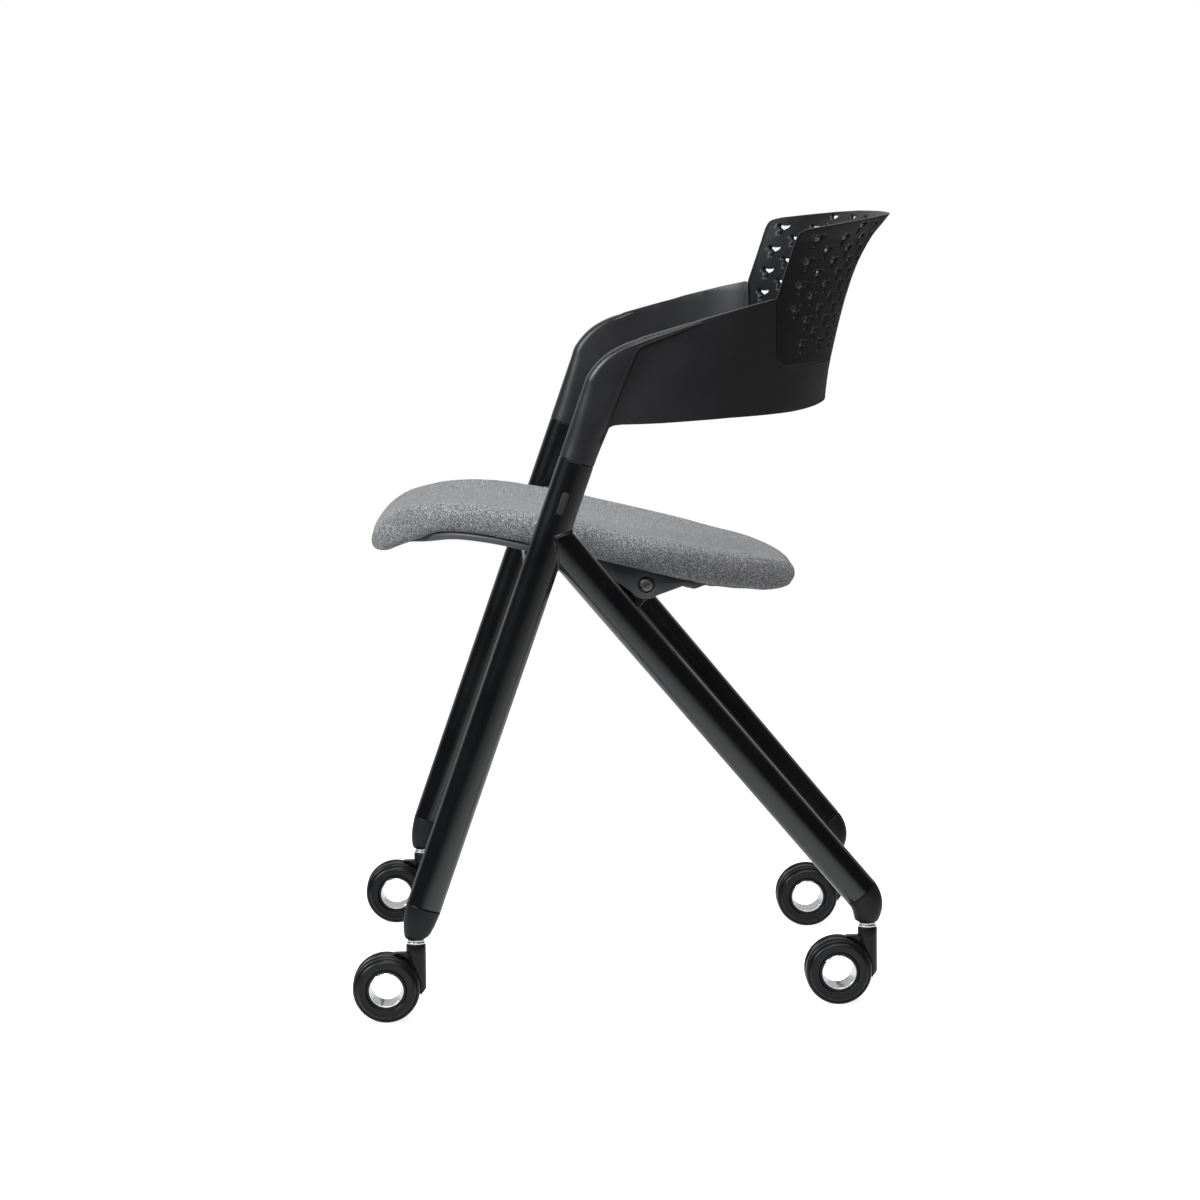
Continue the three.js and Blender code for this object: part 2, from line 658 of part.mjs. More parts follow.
// Curved wall between two depths under the outer surface, with straight arms of a given reach
function shellWall(outerInset, innerInset, lowZ, highZ, armReach, innerAt = innerInset) {
  const heights = leanShares
    .map(([share]) => bandBottomZ + share * (rimZ - bandBottomZ))
    .filter((z) => z > lowZ && z < highZ);
  const levels = [lowZ, ...heights, highZ];
  const rings = [];
  const down = levels.slice().reverse();
  const ring = (outerPoint, innerPoint) => [...levels.map(outerPoint), ...down.map(innerPoint)];
  const depthAt = (angle, z) => {
    const inset = typeof innerAt === "function" ? innerAt(shellPoint(angle, z, outerInset).y) : innerInset;
    return shellPoint(angle, z, inset);
  };
  const armRing = (side) => {
    const straight = typeof innerAt === "function" ? innerAt(-armReach) : innerInset;
    return ring(
      (z) => vec(side * (shellHalfWidth - outerInset), -armReach, z),
      (z) => vec(side * (shellHalfWidth - straight), -armReach, z),
    );
  };
  rings.push(armRing(-1));
  shellAngles.forEach((angle) => {
    rings.push(ring((z) => shellPoint(angle, z, outerInset), (z) => depthAt(angle, z)));
  });
  rings.push(armRing(1));
  return loft(rings);
}

// Side outline of the back panel
function panelOutline() {
  const shape = new THREE.Shape();
  const frontY = seamY;
  const lowZ = seamBottomZ;
  const rearY = bandRearY + backFlare;
  const rimDrop = rimZ - rimFrontDrop;
  const cornerShare = rimCornerRadius / (rimDrop - seamSideZ);
  shape.moveTo(frontY, seamSideZ);
  shape.lineTo(frontY, lowZ + seamRadius);
  shape.quadraticCurveTo(frontY, lowZ, frontY + seamRadius, lowZ);
  shape.lineTo(rearY + cutOverrun, lowZ);
  shape.lineTo(rearY + cutOverrun, rimZ);
  shape.lineTo(rimFrontY + rimCornerRadius, rimDrop);
  const cornerEnd = [mix(rimFrontY, seamY, cornerShare), mix(rimDrop, seamSideZ, cornerShare)];
  shape.quadraticCurveTo(rimFrontY, rimDrop, ...cornerEnd);
  return shape;
}

const fromJoint = ([back, up]) => [armJointY + back, armJointZ + up];
const [armTopY, armTopZ] = fromJoint(armTopReach);
const [armBendY, armBendZ] = fromJoint(armBendReach);

// Front edge of an arm in the side view, from its straight top round the bend to the post
function armFrontCurve(shape) {
  shape.lineTo(armTopY, armTopZ);
  shape.quadraticCurveTo(...fromJoint(bendCornerReach), armBendY, armBendZ);
}

// Side outline of the arms and the band, without the posts' lower ends
function bowOutline() {
  const shape = new THREE.Shape();
  const rearY = bandRearY + backFlare;
  const room = fitGap;
  shape.moveTo(bandFrontY, bandBottomZ + bandFrontRise);
  const cornerEnd = [bandFrontY + bandFrontRise * 2, bandBottomZ + bandFrontRise / 2];
  shape.quadraticCurveTo(bandFrontY, bandBottomZ, ...cornerEnd);
  shape.lineTo(0, bandBottomZ + bandFrontRise);
  shape.lineTo(bandMiddleY, bandBottomZ + bandMiddleRise);
  shape.lineTo(seamY, bandBottomZ + bandMiddleRise);
  shape.lineTo(bandRearY, bandBottomZ + bandRearRise);
  shape.lineTo(rearY, bandBottomZ + bandRearRise);
  shape.lineTo(rearY, seamBottomZ - room);
  shape.lineTo(seamY - room + seamRadius, seamBottomZ - room);
  shape.quadraticCurveTo(seamY - room, seamBottomZ - room, seamY - room, seamBottomZ - room + seamRadius);
  shape.lineTo(seamY - room, seamSideZ);
  armFrontCurve(shape);
  const seat = frontLegAt(armBendZ - legRadius);
  shape.lineTo(seat.y, seat.z);
  shape.lineTo(armJointY, armJointZ);
  return shape;
}

// Side outline of a post: its column runs on along the leg and the bend cuts its top
function postOutline() {
  const shape = new THREE.Shape();
  const lowZ = armJointZ - 2 * spigotLength;
  shape.moveTo(armJointY - legDiameter, lowZ);
  shape.lineTo(armJointY + legDiameter, lowZ);
  shape.lineTo(armTopY + legDiameter, armTopZ);
  armFrontCurve(shape);
  shape.lineTo(armBendY - legRadius, armBendZ);
  return shape;
}

function armPost() {
  const spigotRadius = legRadius - legWall - fitGap;
  const seam = armJoint.clone().addScaledVector(legUp, fitGap);
  return loft([
    ringAt(armJoint.clone().addScaledVector(legUp, -spigotLength), legUp, spigotRadius),
    ringAt(seam, legUp, spigotRadius),
    ringAt(seam, legUp, legRadius),
    ringAt(armJoint.clone().addScaledVector(legUp, postReach), legUp, legRadius),
  ]);
}

function armLip() {
  const inner = shellHalfWidth - lipDepth;
  const section = ([y, z], proud) => {
    const outer = shellHalfWidth + proud;
    const high = z + legRadius;
    return [vec(inner, y, z), vec(outer, y, z), vec(outer, y, high), vec(inner, y, high)];
  };
  return loft([
    section(fromJoint(lipFrontReach), lipProud),
    section(fromJoint(lipRearReach), lipFade),
  ]);
}

function armBow() {
  const inner = (y) => mix(armWall, bandWall, Math.min(Math.max(y, 0) / armThinY, 1));
  const wall = shellWall(0, bandWall, bandBottomZ - cutOverrun, rimZ, legDiameter, inner);
  const widthHalf = shellHalfWidth + legDiameter;
  const lip = armLip();
  const band = common(plus(wall, lip, mirrored(lip)), sidePrism(bowOutline(), -widthHalf, widthHalf));
  const post = common(armPost(), sidePrism(postOutline(), 0, widthHalf));
  return minus(plus(band, post, mirrored(post)), armScrewRoom, mirrored(armScrewRoom));
}

// One three-armed hole, drawn in the rear view round its middle
function holePoints() {
  const points = [];
  [0, 1, 2].forEach((arm) => {
    const angle = -Math.PI / 2 + (arm * 2 * Math.PI) / 3;
    const tip = holeArm + holeLobe;
    const valley = angle + Math.PI / 3;
    points.push([tip * Math.cos(angle), tip * Math.sin(angle)]);
    const depth = holeLobe * holeValleyShare;
    points.push([depth * Math.cos(valley), depth * Math.sin(valley)]);
  });
  return points;
}

function panelHoles() {
  const holes = [];
  const sideX = holeColumns * holePitchX;
  for (let column = -holeColumns; column <= holeColumns; column += 1) {
    const odd = Math.abs(column) % 2;
    const x = column * holePitchX;
    for (let row = 0; row < holeRows; row += 1) {
      const z = lowestHoleZ + (row + odd / 2) * holePitchZ;
      const rear = leanAt(z) * (1 - (Math.abs(x) / shellHalfWidth) ** shellPower) ** (1 / shellPower);
      const share = (rear - rimFrontY) / (bandRearY + backFlare - rimFrontY);
      const rimHere = rimZ - rimFrontDrop * (1 - share);
      const lowSide = Math.abs(x) > sideX - holePitchX && z < seamBottomZ + holeSeamRoom + seamRadius;
      if (z + holeRimRoom > rimHere || lowSide) continue;
      const shape = new THREE.Shape(holePoints().map(([dx, dz]) => new THREE.Vector2(x + dx, z + dz)));
      holes.push(shape);
    }
  }
  const depth = backFlare + bandRearY;
  const prisms = new THREE.ExtrudeGeometry(holes, { depth, bevelEnabled: false });
  prisms.rotateX(Math.PI / 2);
  prisms.translate(0, depth + cutOverrun, 0);
  return prisms;
}

function backPanel() {
  const widthHalf = shellHalfWidth + legDiameter;
  const wall = shellWall(0, panelWall, bandBottomZ, rimZ + cutOverrun, legRadius);
  return minus(common(wall, sidePrism(panelOutline(), -widthHalf, widthHalf)), panelHoles());
}

// Seat pieces
function bothSides(half) {
  const rest = half.slice(1, -1).reverse();
  return [...half, ...rest.map((point) => vec(-point.x, point.y, point.z))];
}

function cushionBody() {
  const rings = seatStationShares.map((share) => {
    const y = seatYAt(share);
    const [low, high, half] = [undersideZ(y), crestZ(y), halfWidthAt(y)];
    const dish = seatDish * Math.sin(Math.PI * share) ** dishPower;
    const place = ([wide, tall, deep]) => vec(wide * half, y, mix(low, high, tall) - deep * dish);
    return bothSides(sectionShares.map(place));
  });
  return loft(rings);
}

// Plate that follows the underside of the seat between two depths below it
function seatPlate(fromShare, toShare, halfAt, topOf, bottomOf, moreShares = []) {
  const inside = [...seatStationShares, ...moreShares]
    .filter((share) => share > fromShare && share < toShare)
    .sort((a, b) => a - b);
  const rings = [fromShare, ...inside, toShare].map((share) => {
    const y = seatYAt(share);
    const half = halfAt(y);
    return [
      vec(half, y, bottomOf(y)), vec(half, y, topOf(y)),
      vec(-half, y, topOf(y)), vec(-half, y, bottomOf(y)),
    ];
  });
  return loft(rings);
}

const [boardFromShare, boardToShare] = boardEndShares;
const boardHalf = (y) => boardWidthShare * halfWidthAt(y);
const boardTop = (y) => boardBottom(y) + boardThickness;
const board = seatPlate(boardFromShare, boardToShare, boardHalf, boardTop, boardBottom);

function cushion() {
  const endRoom = fitGap / seatLength;
  const room = seatPlate(
    boardFromShare - endRoom,
    boardToShare + endRoom,
    (y) => boardHalf(y) + fitGap,
    (y) => boardTop(y) + fitGap,
    (y) => undersideZ(y) - cutOverrun,
  );
  return minus(cushionBody(), room);
}

const [seatScrewFrontY, seatScrewRearY] = seatScrewShares.map(seatYAt);
const seatScrewPlaces = [
  ["seat_screw_front_left", seatScrewX, seatScrewFrontY],
  ["seat_screw_front_right", -seatScrewX, seatScrewFrontY],
  ["seat_screw_rear_left", seatScrewX, seatScrewRearY],
  ["seat_screw_rear_right", -seatScrewX, seatScrewRearY],
];

function seatPan() {
  const frontY = pivotY - earFrontReach;
  const rearY = pivotY + earRearReach;
  const between0and1 = (value) => Math.min(Math.max(value, 0), 1);
  const half = (y) => {
    const beforeEars = between0and1((frontY - y) / panNeckLength);
    const behindEars = between0and1((y - rearY) / panShoulderLength);
    const wide = mix(panWidthShare, panRearWidthShare, behindEars) * halfWidthAt(y);
    return mix(Math.min(earOuterX, wide), wide, beforeEars);
  };
  const earShares = [rearY, rearY + panShoulderLength].map(shareAtY);
  const plate = seatPlate(panFrontShare, panRearShare, half, panTop, panBottomZ, earShares);
  const inner = earOuterX - earThickness;
  const ear = new THREE.Shape();
  const topAt = (y) => panTop(y) - fitGap;
  const between = stationYs.filter((y) => y > frontY && y < rearY).reverse();
  ear.moveTo(frontY, topAt(frontY));
  ear.lineTo(frontY, panBottomZ(frontY));
  const earPoint = ([back, up]) => [pivotY + back * earRadius, pivotZ + up * earRadius];
  ear.lineTo(...earPoint(earFrontShares));
  ear.quadraticCurveTo(...earPoint(earFrontCornerShares), pivotY, pivotZ - earRadius);
  ear.quadraticCurveTo(...earPoint(earRearCornerShares), ...earPoint(earRearShares));
  ear.lineTo(rearY, topAt(rearY));
  between.forEach((y) => ear.lineTo(y, topAt(y)));
  const leftEar = sidePrism(ear, inner, earOuterX);
  const at = (x) => vec(x, pivotY, pivotZ);
  const recessFrom = at(earOuterX - boltRecessDepth);
  const recess = rod(recessFrom, at(earOuterX + cutOverrun), boltRecessDiameter / 2, boreSides);
  const bore = rod(at(inner - cutOverrun), at(earOuterX), bushDiameter / 2 + fitGap, boreSides);
  const eyeRoom = rod(
    at(inner - tabThickness - bushFlangeThickness - nutThickness - cutOverrun),
    at(inner),
    tabEyeDiameter / 2 + tabRoom,
  );
  const cutters = [recess, bore, eyeRoom];
  const screwRooms = seatScrewPlaces.map(([, x, y]) => rod(
    vec(x, y, panBottomZ(y) - cutOverrun),
    vec(x, y, boardBottom(y) + cutOverrun),
    seatScrewDiameter / 2 + fitGap,
    smallSides,
  ));
  const whole = plus(plate, leftEar, mirrored(leftEar));
  return minus(whole, ...cutters, ...cutters.map(mirrored), ...screwRooms);
}

function seatScrew(x, y) {
  const head = seatScrewHeadDiameter / 2;
  const low = Math.min(panBottomZ(y - head), panBottomZ(y + head)) - fitGap;
  const seat = vec(x, y, low);
  const reach = panThicknessAt(y);
  return screw(seat, upwards, seatScrewDiameter, seatScrewHeadDiameter, seatScrewHeadHeight, reach);
}

// Pivot pieces of the +X side, from the ear inwards
const earInnerX = earOuterX - earThickness;
const flangeOuterX = earInnerX - fitGap;
const tabOuterX = flangeOuterX - bushFlangeThickness - fitGap;
const tabInnerX = tabOuterX - tabThickness;
const boltClearRadius = pivotBoltDiameter / 2 + fitGap;
const headSeatX = earOuterX - boltRecessDepth;

function pivotTab() {
  const eye = rod(vec(tabInnerX, pivotY, pivotZ), vec(tabOuterX, pivotY, pivotZ), tabEyeDiameter / 2);
  const barMiddle = vec(tabInnerX, rearBarEnd.y, rearBarEnd.z);
  const collar = rod(barMiddle, barMiddle.clone().setX(tabOuterX), tabCollarDiameter / 2);
  const line = pivot.clone().sub(vec(0, rearBarEnd.y, rearBarEnd.z));
  const side = vec(0, -line.z, line.y).normalize();
  const corner = (middle, reach) => [middle.y + side.y * reach, middle.z + side.z * reach];
  const cheek = sidePrism([
    corner(rearBarEnd, tabCollarDiameter / 2),
    corner(pivot, tabEyeDiameter / 2),
    corner(pivot, -tabEyeDiameter / 2),
    corner(rearBarEnd, -tabCollarDiameter / 2),
  ], tabInnerX, tabOuterX);
  const bore = rod(
    vec(tabInnerX - cutOverrun, pivotY, pivotZ),
    vec(tabOuterX + cutOverrun, pivotY, pivotZ),
    boltClearRadius,
    smallSides,
  );
  return minus(plus(eye, collar, cheek), rearBarRoom, bore);
}

function pivotBush() {
  const inner = boltClearRadius;
  const outer = bushDiameter / 2;
  return turned(vec(0, pivotY, pivotZ), towardsX, [
    [flangeOuterX - bushFlangeThickness, inner],
    [flangeOuterX - bushFlangeThickness, bushFlangeDiameter / 2],
    [flangeOuterX, bushFlangeDiameter / 2],
    [flangeOuterX, outer],
    [headSeatX, outer],
    [headSeatX, inner],
  ], smallSides);
}

function pivotBolt() {
  const radius = pivotBoltDiameter / 2;
  const head = boltHeadDiameter / 2;
  const seat = headSeatX + fitGap;
  const body = turned(vec(0, pivotY, pivotZ), towardsX, [
    [tabInnerX - nutThickness - 2 * fitGap, 0],
    [tabInnerX - nutThickness - 2 * fitGap, radius],
    [seat, radius],
    [seat, head],
    [seat + boltHeadHeight * boltRimShare, head],
    [seat + boltHeadHeight, head * boltCrownShare],
    [seat + boltHeadHeight, 0],
  ], smallSides);
  const socket = rod(
    vec(seat + boltHeadHeight - boltSocketDepth, pivotY, pivotZ),
    vec(seat + boltHeadHeight + cutOverrun, pivotY, pivotZ),
    boltSocketDiameter / 2,
    hexSides,
  );
  return minus(body, socket);
}

function pivotNut() {
  const outer = vec(tabInnerX - fitGap, pivotY, pivotZ);
  const inner = outer.clone().setX(outer.x - nutThickness);
  const over = vec(cutOverrun, 0, 0);
  const block = rod(inner, outer, nutAcross / Math.sqrt(3), hexSides);
  return minus(block, rod(inner.clone().sub(over), outer.clone().add(over), boltClearRadius, smallSides));
}

function restBumper() {
  const [front, rear] = [frontBarEnd.y - bumperDepth / 2, frontBarEnd.y + bumperDepth / 2];
  const topAt = (y) => panBottomZ(y) - fitGap;
  const block = sidePrism([
    [front, topAt(front)],
    [frontBarEnd.y, Math.min(topAt(frontBarEnd.y), (topAt(front) + topAt(rear)) / 2)],
    [rear, topAt(rear)],
    [rear, frontBarEnd.z],
    [front, frontBarEnd.z],
  ].reverse(), bumperX - bumperWidth / 2, bumperX + bumperWidth / 2);
  const lowZ = frontBarEnd.z + bumperClasp;
  const low = sidePrism([
    [front - cutOverrun, frontBarEnd.z - cutOverrun],
    [rear + cutOverrun, frontBarEnd.z - cutOverrun],
    [rear + cutOverrun, lowZ],
    [front - cutOverrun, lowZ],
  ], 0, shellHalfWidth);
  return minus(block, frontBarRoom, low);
}

function nestPad() {
  const middle = frontLegAt(armJointZ - nestPadDrop);
  const from = middle.clone().addScaledVector(legUp, -nestPadLength / 2);
  const to = middle.clone().addScaledVector(legUp, nestPadLength / 2);
  const thick = new THREE.BoxGeometry(legRadius + nestPadProud, nestPadWidth, nestPadLength);
  thick.translate((legRadius + nestPadProud) / 2, 0, 0);
  thick.applyQuaternion(new THREE.Quaternion().setFromUnitVectors(upwards, legUp));
  const place = from.clone().add(to).divideScalar(2);
  thick.translate(place.x, place.y, place.z);
  return minus(thick, frontLegRoom);
}

// Finishes
const finish = (color, roughness, metalness) => (
  new THREE.MeshStandardMaterial({ color, roughness, metalness })
);
const blackPaint = finish("#101114", 0.32, 0.3);
const blackPlastic = finish("#17181b", 0.55, 0);
const greyFabric = finish("#6f7175", 0.95, 0);
const plywood = finish("#8a6a45", 0.7, 0);
const panPlastic = finish("#3b3d40", 0.5, 0);
const zinc = finish("#c3c6ca", 0.3, 0.9);
const chrome = finish("#e3e5e8", 0.12, 1);
const rubber = finish("#222326", 0.85, 0);
const treadPlastic = finish("#1a1b1d", 0.6, 0);
const bushPlastic = finish("#d8d6cf", 0.5, 0);

const chair = new THREE.Group();
function addPiece(name, geometry, material, parent = chair) {
  const mesh = new THREE.Mesh(geometry, material);
  mesh.name = name;
  parent.add(mesh);
  return mesh;
}

function addPair(name, geometry, material) {
  addPiece(`${name}_left`, geometry, material);
  addPiece(`${name}_right`, mirrored(geometry), material);
}

addPair("front_leg", frontLeg, blackPaint);
addPair("rear_leg", rearLeg, blackPaint);
addPiece("front_cross_bar", crossBar(frontBarEnd, frontBarDiameter, frontLegRoom), blackPaint);
addPiece("rear_cross_bar", crossBar(rearBarEnd, rearBarDiameter, rearLegRoom), blackPaint);
addPair("pivot_tab", pivotTab(), blackPaint);
addPair("pivot_bush", pivotBush(), bushPlastic);
addPair("pivot_bolt", pivotBolt(), blackPaint);
addPair("pivot_nut", pivotNut(), zinc);
addPair("nesting_pad", nestPad(), rubber);
addPair("arm_screw", armScrew(), blackPaint);
addPiece("arm_bow", armBow(), blackPlastic);
addPiece("back_panel", backPanel(), blackPlastic);

addPiece("seat_cushion", cushion(), greyFabric);
addPiece("seat_board", board, plywood);
addPiece("seat_pan", seatPan(), panPlastic);
addPair("rest_bumper", restBumper(), rubber);
seatScrewPlaces.forEach(([name, x, y]) => addPiece(name, seatScrew(x, y), zinc));

// Casters with their caps, one at each foot
const wheel = casterWheel();
const housing = casterHousing();
const ring = hubRing();
const stem = casterStem();
const washer = stemWasher();
const frontStem = vec(frontStanceHalf, frontStemY, 0);
const rearStem = vec(rearStemX, rearStemY, 0);
const frontCap = legCap(frontFoot, legUp, frontStem);
const rearCap = legCap(rearFoot, branch.clone().sub(rearFoot).normalize(), rearStem);
const corners = [
  ["front_left", frontStem, 1, frontCap],
  ["front_right", frontStem, -1, frontCap],
  ["rear_left", rearStem, 1, rearCap],
  ["rear_right", rearStem, -1, rearCap],
];
corners.forEach(([corner, stemPlace, side, cap]) => {
  addPiece(`${corner}_leg_cap`, side > 0 ? cap : mirrored(cap), blackPlastic);
  const caster = new THREE.Group();
  caster.position.set(side * stemPlace.x, stemPlace.y, 0);
  chair.add(caster);
  addPiece(`${corner}_stem`, stem, zinc, caster);
  addPiece(`${corner}_washer`, washer, zinc, caster);
  addPiece(`${corner}_housing`, housing, blackPlastic, caster);
  addPiece(`${corner}_hub_ring`, ring, chrome, caster);
  addPiece(`${corner}_outer_wheel`, side > 0 ? wheel : mirrored(wheel), treadPlastic, caster);
  addPiece(`${corner}_inner_wheel`, side > 0 ? mirrored(wheel) : wheel, treadPlastic, caster);
});

export default chair;
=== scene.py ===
"""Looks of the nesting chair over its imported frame.

The pieces are drawn in millimetres and made metres when they are finished.
+X is the sitter's left, which is the photograph's near side. The sitter faces -Y, and the floor is Z = 0.
"""

import math

import bmesh
import bpy
from mathutils import Matrix, Vector


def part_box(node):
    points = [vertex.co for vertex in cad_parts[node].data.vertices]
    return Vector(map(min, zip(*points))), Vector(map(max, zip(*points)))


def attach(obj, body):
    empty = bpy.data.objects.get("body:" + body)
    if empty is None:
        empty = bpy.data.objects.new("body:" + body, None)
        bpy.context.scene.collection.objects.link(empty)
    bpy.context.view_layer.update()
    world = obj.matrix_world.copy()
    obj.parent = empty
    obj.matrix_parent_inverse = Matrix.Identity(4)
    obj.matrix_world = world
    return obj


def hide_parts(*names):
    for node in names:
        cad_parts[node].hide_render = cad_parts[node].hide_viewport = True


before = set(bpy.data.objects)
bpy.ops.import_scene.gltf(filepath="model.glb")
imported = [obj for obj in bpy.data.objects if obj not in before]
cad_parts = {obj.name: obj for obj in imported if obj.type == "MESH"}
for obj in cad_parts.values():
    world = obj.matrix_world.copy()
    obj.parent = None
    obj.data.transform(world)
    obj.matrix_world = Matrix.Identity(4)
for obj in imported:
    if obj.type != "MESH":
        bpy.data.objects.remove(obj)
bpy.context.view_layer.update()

MM = 0.001
ACROSS = Vector((1, 0, 0))
REARWARD = Vector((0, 1, 0))
UP = Vector((0, 0, 1))
HANDS = ((1, "left"), (-1, "right"))


def at_height(foot, top, z):
    """Place on a straight tube at a height."""
    return foot.lerp(top, (z - foot.z) / (top.z - foot.z))


# Legs and bars: tube radii and the ends of their middle lines
LEG = 17.0
FRONT_BAR, REAR_BAR = 12.5, 14.0
FRONT_FOOT = Vector((281, -202.1, 110))
ARM_JOINT = Vector((281, -51, 535.8))
LEG_UP = (ARM_JOINT - FRONT_FOOT).normalized()
BRANCH = at_height(FRONT_FOOT, ARM_JOINT, 466.2)
REAR_FOOT = Vector((225, 221.8, 108.7))
REAR_DOWN = (REAR_FOOT - BRANCH).normalized()
LEG_BEAD, BAR_BEAD = 1.5, 1.8

# Height of the nesting pads, depth of the arm screws below the joint, and room for a seat screw's head
PAD_HEIGHT = 497.0
ARM_SCREW_DROP = 20.0
SCREW_HEAD = 3.0

# Casters, drawn round the stem at X = 0, Y = 0: the wheel's middle, and radii round it and the stem
HUB = Vector((0, -28.8, 32.5))
WHEEL_ROOM = 33.4
COLUMN = 9.5
CAP_END = 10.5
CAP_BOTTOM = 79.0
# Each stem's X, Y and side
STEMS = {
    "front_left": (281, -210.4, 1),
    "front_right": (281, -210.4, -1),
    "rear_left": (223, 228.2, 1),
    "rear_right": (223, 228.2, -1),
}


def middle_of(node):
    """Middle of a CAD node, in millimetres."""
    low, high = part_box(node)
    return (low + high) / 2 / MM


def along(table, x):
    """Value at x on a soft line through a table of (x, value) points."""
    if x <= table[0][0]:
        return table[0][1]
    if x >= table[-1][0]:
        return table[-1][1]
    i = next(k for k, point in enumerate(table) if point[0] > x) - 1

    def slope(k):
        before, after = table[max(k - 1, 0)], table[min(k + 1, len(table) - 1)]
        return (after[1] - before[1]) / (after[0] - before[0])

    (x0, y0), (x1, y1) = table[i], table[i + 1]
    t = (x - x0) / (x1 - x0)
    ease = t * t * (3 - 2 * t)
    return y0 + (y1 - y0) * ease + (x1 - x0) * t * (1 - t) * ((1 - t) * slope(i) - t * slope(i + 1))


def smooth(low, high, x):
    """0 below low, 1 above high and a soft step between."""
    t = min(max((x - low) / (high - low), 0), 1)
    return t * t * (3 - 2 * t)


def stand_on(origin, axis, toward=ACROSS):
    """Matrix at the origin whose Z runs along the axis and whose X leans toward the given side."""
    z = axis.normalized()
    if abs(z.dot(toward)) > 0.999:
        toward = UP
    x = (toward - z * toward.dot(z)).normalized()
    place = Matrix((x, z.cross(x), z)).transposed().to_4x4()
    place.translation = origin
    return place


def round_steps(sides, start=0.0):
    """Angles of even steps round a circle."""
    return [2 * math.pi * (i + start) / sides for i in range(sides)]


def disc(radius, sides=64):
    """Round outline."""
    return [(radius * math.cos(angle), radius * math.sin(angle)) for angle in round_steps(sides)]


def hexagon(across, sides=48):
    """Six-sided outline with as many points as a round one."""
    points = []
    for angle in round_steps(sides):
        reach = across / 2 / math.cos(angle % (math.pi / 3) - math.pi / 6)
        points.append((reach * math.cos(angle), reach * math.sin(angle)))
    return points


def pad_outline(width, height, corner, sides=48):
    """Rounded rectangle, its points spread so that one starts in the middle of the +X side."""
    half_w, half_h = width / 2 - corner, height / 2 - corner
    points = []
    for angle in round_steps(sides, 0.5):
        a, b = math.cos(angle), math.sin(angle)
        points.append((math.copysign(half_w, a) + corner * a, math.copysign(half_h, b) + corner * b))
    return points


def curve(start, corner, end, steps):
    """Points of a soft bend, from the first step after its start to its end."""
    points = []
    for i in range(1, steps + 1):
        t = i / steps
        points.append(tuple(
            a * (1 - t) ** 2 + b * 2 * t * (1 - t) + c * t * t for a, b, c in zip(start, corner, end)
        ))
    return points


def placed(matrix, outline):
    """Outline in the matrix's XY plane."""
    return [matrix @ Vector((a, b, 0)) for a, b in outline]


def side_plane(x):
    """Matrix of an upright plane across X, whose own X runs rearward and Y up."""
    return stand_on(ACROSS * x, ACROSS, REARWARD)


def sweep(bm, rings, closed=False):
    """A circle is extruded from ring to ring, and takes each ring's points. Its ends are closed or joined."""
    rings = [*rings, rings[0]] if closed else rings
    first = ring = bmesh.ops.create_circle(bm, cap_ends=False, radius=1, segments=len(rings[0]))["verts"]
    for k, points in enumerate(rings):
        if k:
            edges = [e for e in {e for v in ring for e in v.link_edges} if all(v in last for v in e.verts)]
            grown = bmesh.ops.extrude_edge_only(bm, edges=edges)["geom"]
            new = {g for g in grown if isinstance(g, bmesh.types.BMVert)}
            ring = [next(e.other_vert(v) for e in v.link_edges if e.other_vert(v) in new) for v in ring]
        last = set(ring)
        for v, point in zip(ring, points):
            v.co = point
    if closed:
        bmesh.ops.remove_doubles(bm, verts=[*first, *ring], dist=0.001)
    else:
        for loop in (first, ring):
            bm.faces.new(loop)


def eased(points, steps=4):
    """Outline of (a, b, corner) points with each corner rounded by that much."""
    result = []
    for k, (a, b, corner) in enumerate(points):
        here = Vector((a, b))
        if not corner:
            result.append(here)
            continue
        before = Vector(points[k - 1][:2]) - here
        after = Vector(points[(k + 1) % len(points)][:2]) - here
        start = here + before.normalized() * min(corner, before.length / 2)
        end = here + after.normalized() * min(corner, after.length / 2)
        result += [start, *(Vector(point) for point in curve(start, here, end, steps))]
    return result


def turn(bm, matrix, section, steps=72, closed=True):
    """Spins a section of (height, radius, corner) points round the matrix's Z."""
    verts = [bm.verts.new(matrix @ Vector((r, 0, h))) for h, r in eased(section)]
    pairs = list(zip(verts, verts[1:])) + ([(verts[-1], verts[0])] if closed else [])
    edges = [bm.edges.new(pair) for pair in pairs]
    bmesh.ops.spin(
        bm, geom=verts + edges, cent=matrix.translation, axis=matrix.to_3x3() @ UP, dvec=(0, 0, 0),
        angle=2 * math.pi, steps=steps, use_merge=True,
    )
    bmesh.ops.remove_doubles(bm, verts=bm.verts, dist=0.001)


def plate(bm, matrix, outline, depth, edge=0.8, segments=3):
    """A flat outline in the matrix's XY plane, extruded along its Z, with eased edges."""
    face = bm.faces.new([bm.verts.new(point) for point in placed(matrix, outline)])
    grown = bmesh.ops.extrude_face_region(bm, geom=[face])["geom"]
    moved = [g for g in grown if isinstance(g, bmesh.types.BMVert)]
    bmesh.ops.translate(bm, verts=moved, vec=matrix.to_3x3() @ UP * depth)
    far = next(g for g in grown if isinstance(g, bmesh.types.BMFace))
    rims = [*face.edges, *far.edges] if face.is_valid else list(far.edges)
    bmesh.ops.bevel(
        bm, geom=rims, offset=edge, offset_type="OFFSET", affect="EDGES", segments=segments,
        profile=0.5, material=-1, clamp_overlap=True,
    )


def dense(outline, step=2.5):
    """Closed outline with points added, so that none are further apart than the step."""
    points = []
    for k, here in enumerate(outline):
        start, end = Vector(outline[k - 1]), Vector(here)
        count = max(math.ceil((end - start).length / step), 1)
        points += [start.lerp(end, i / count) for i in range(1, count + 1)]
    return points


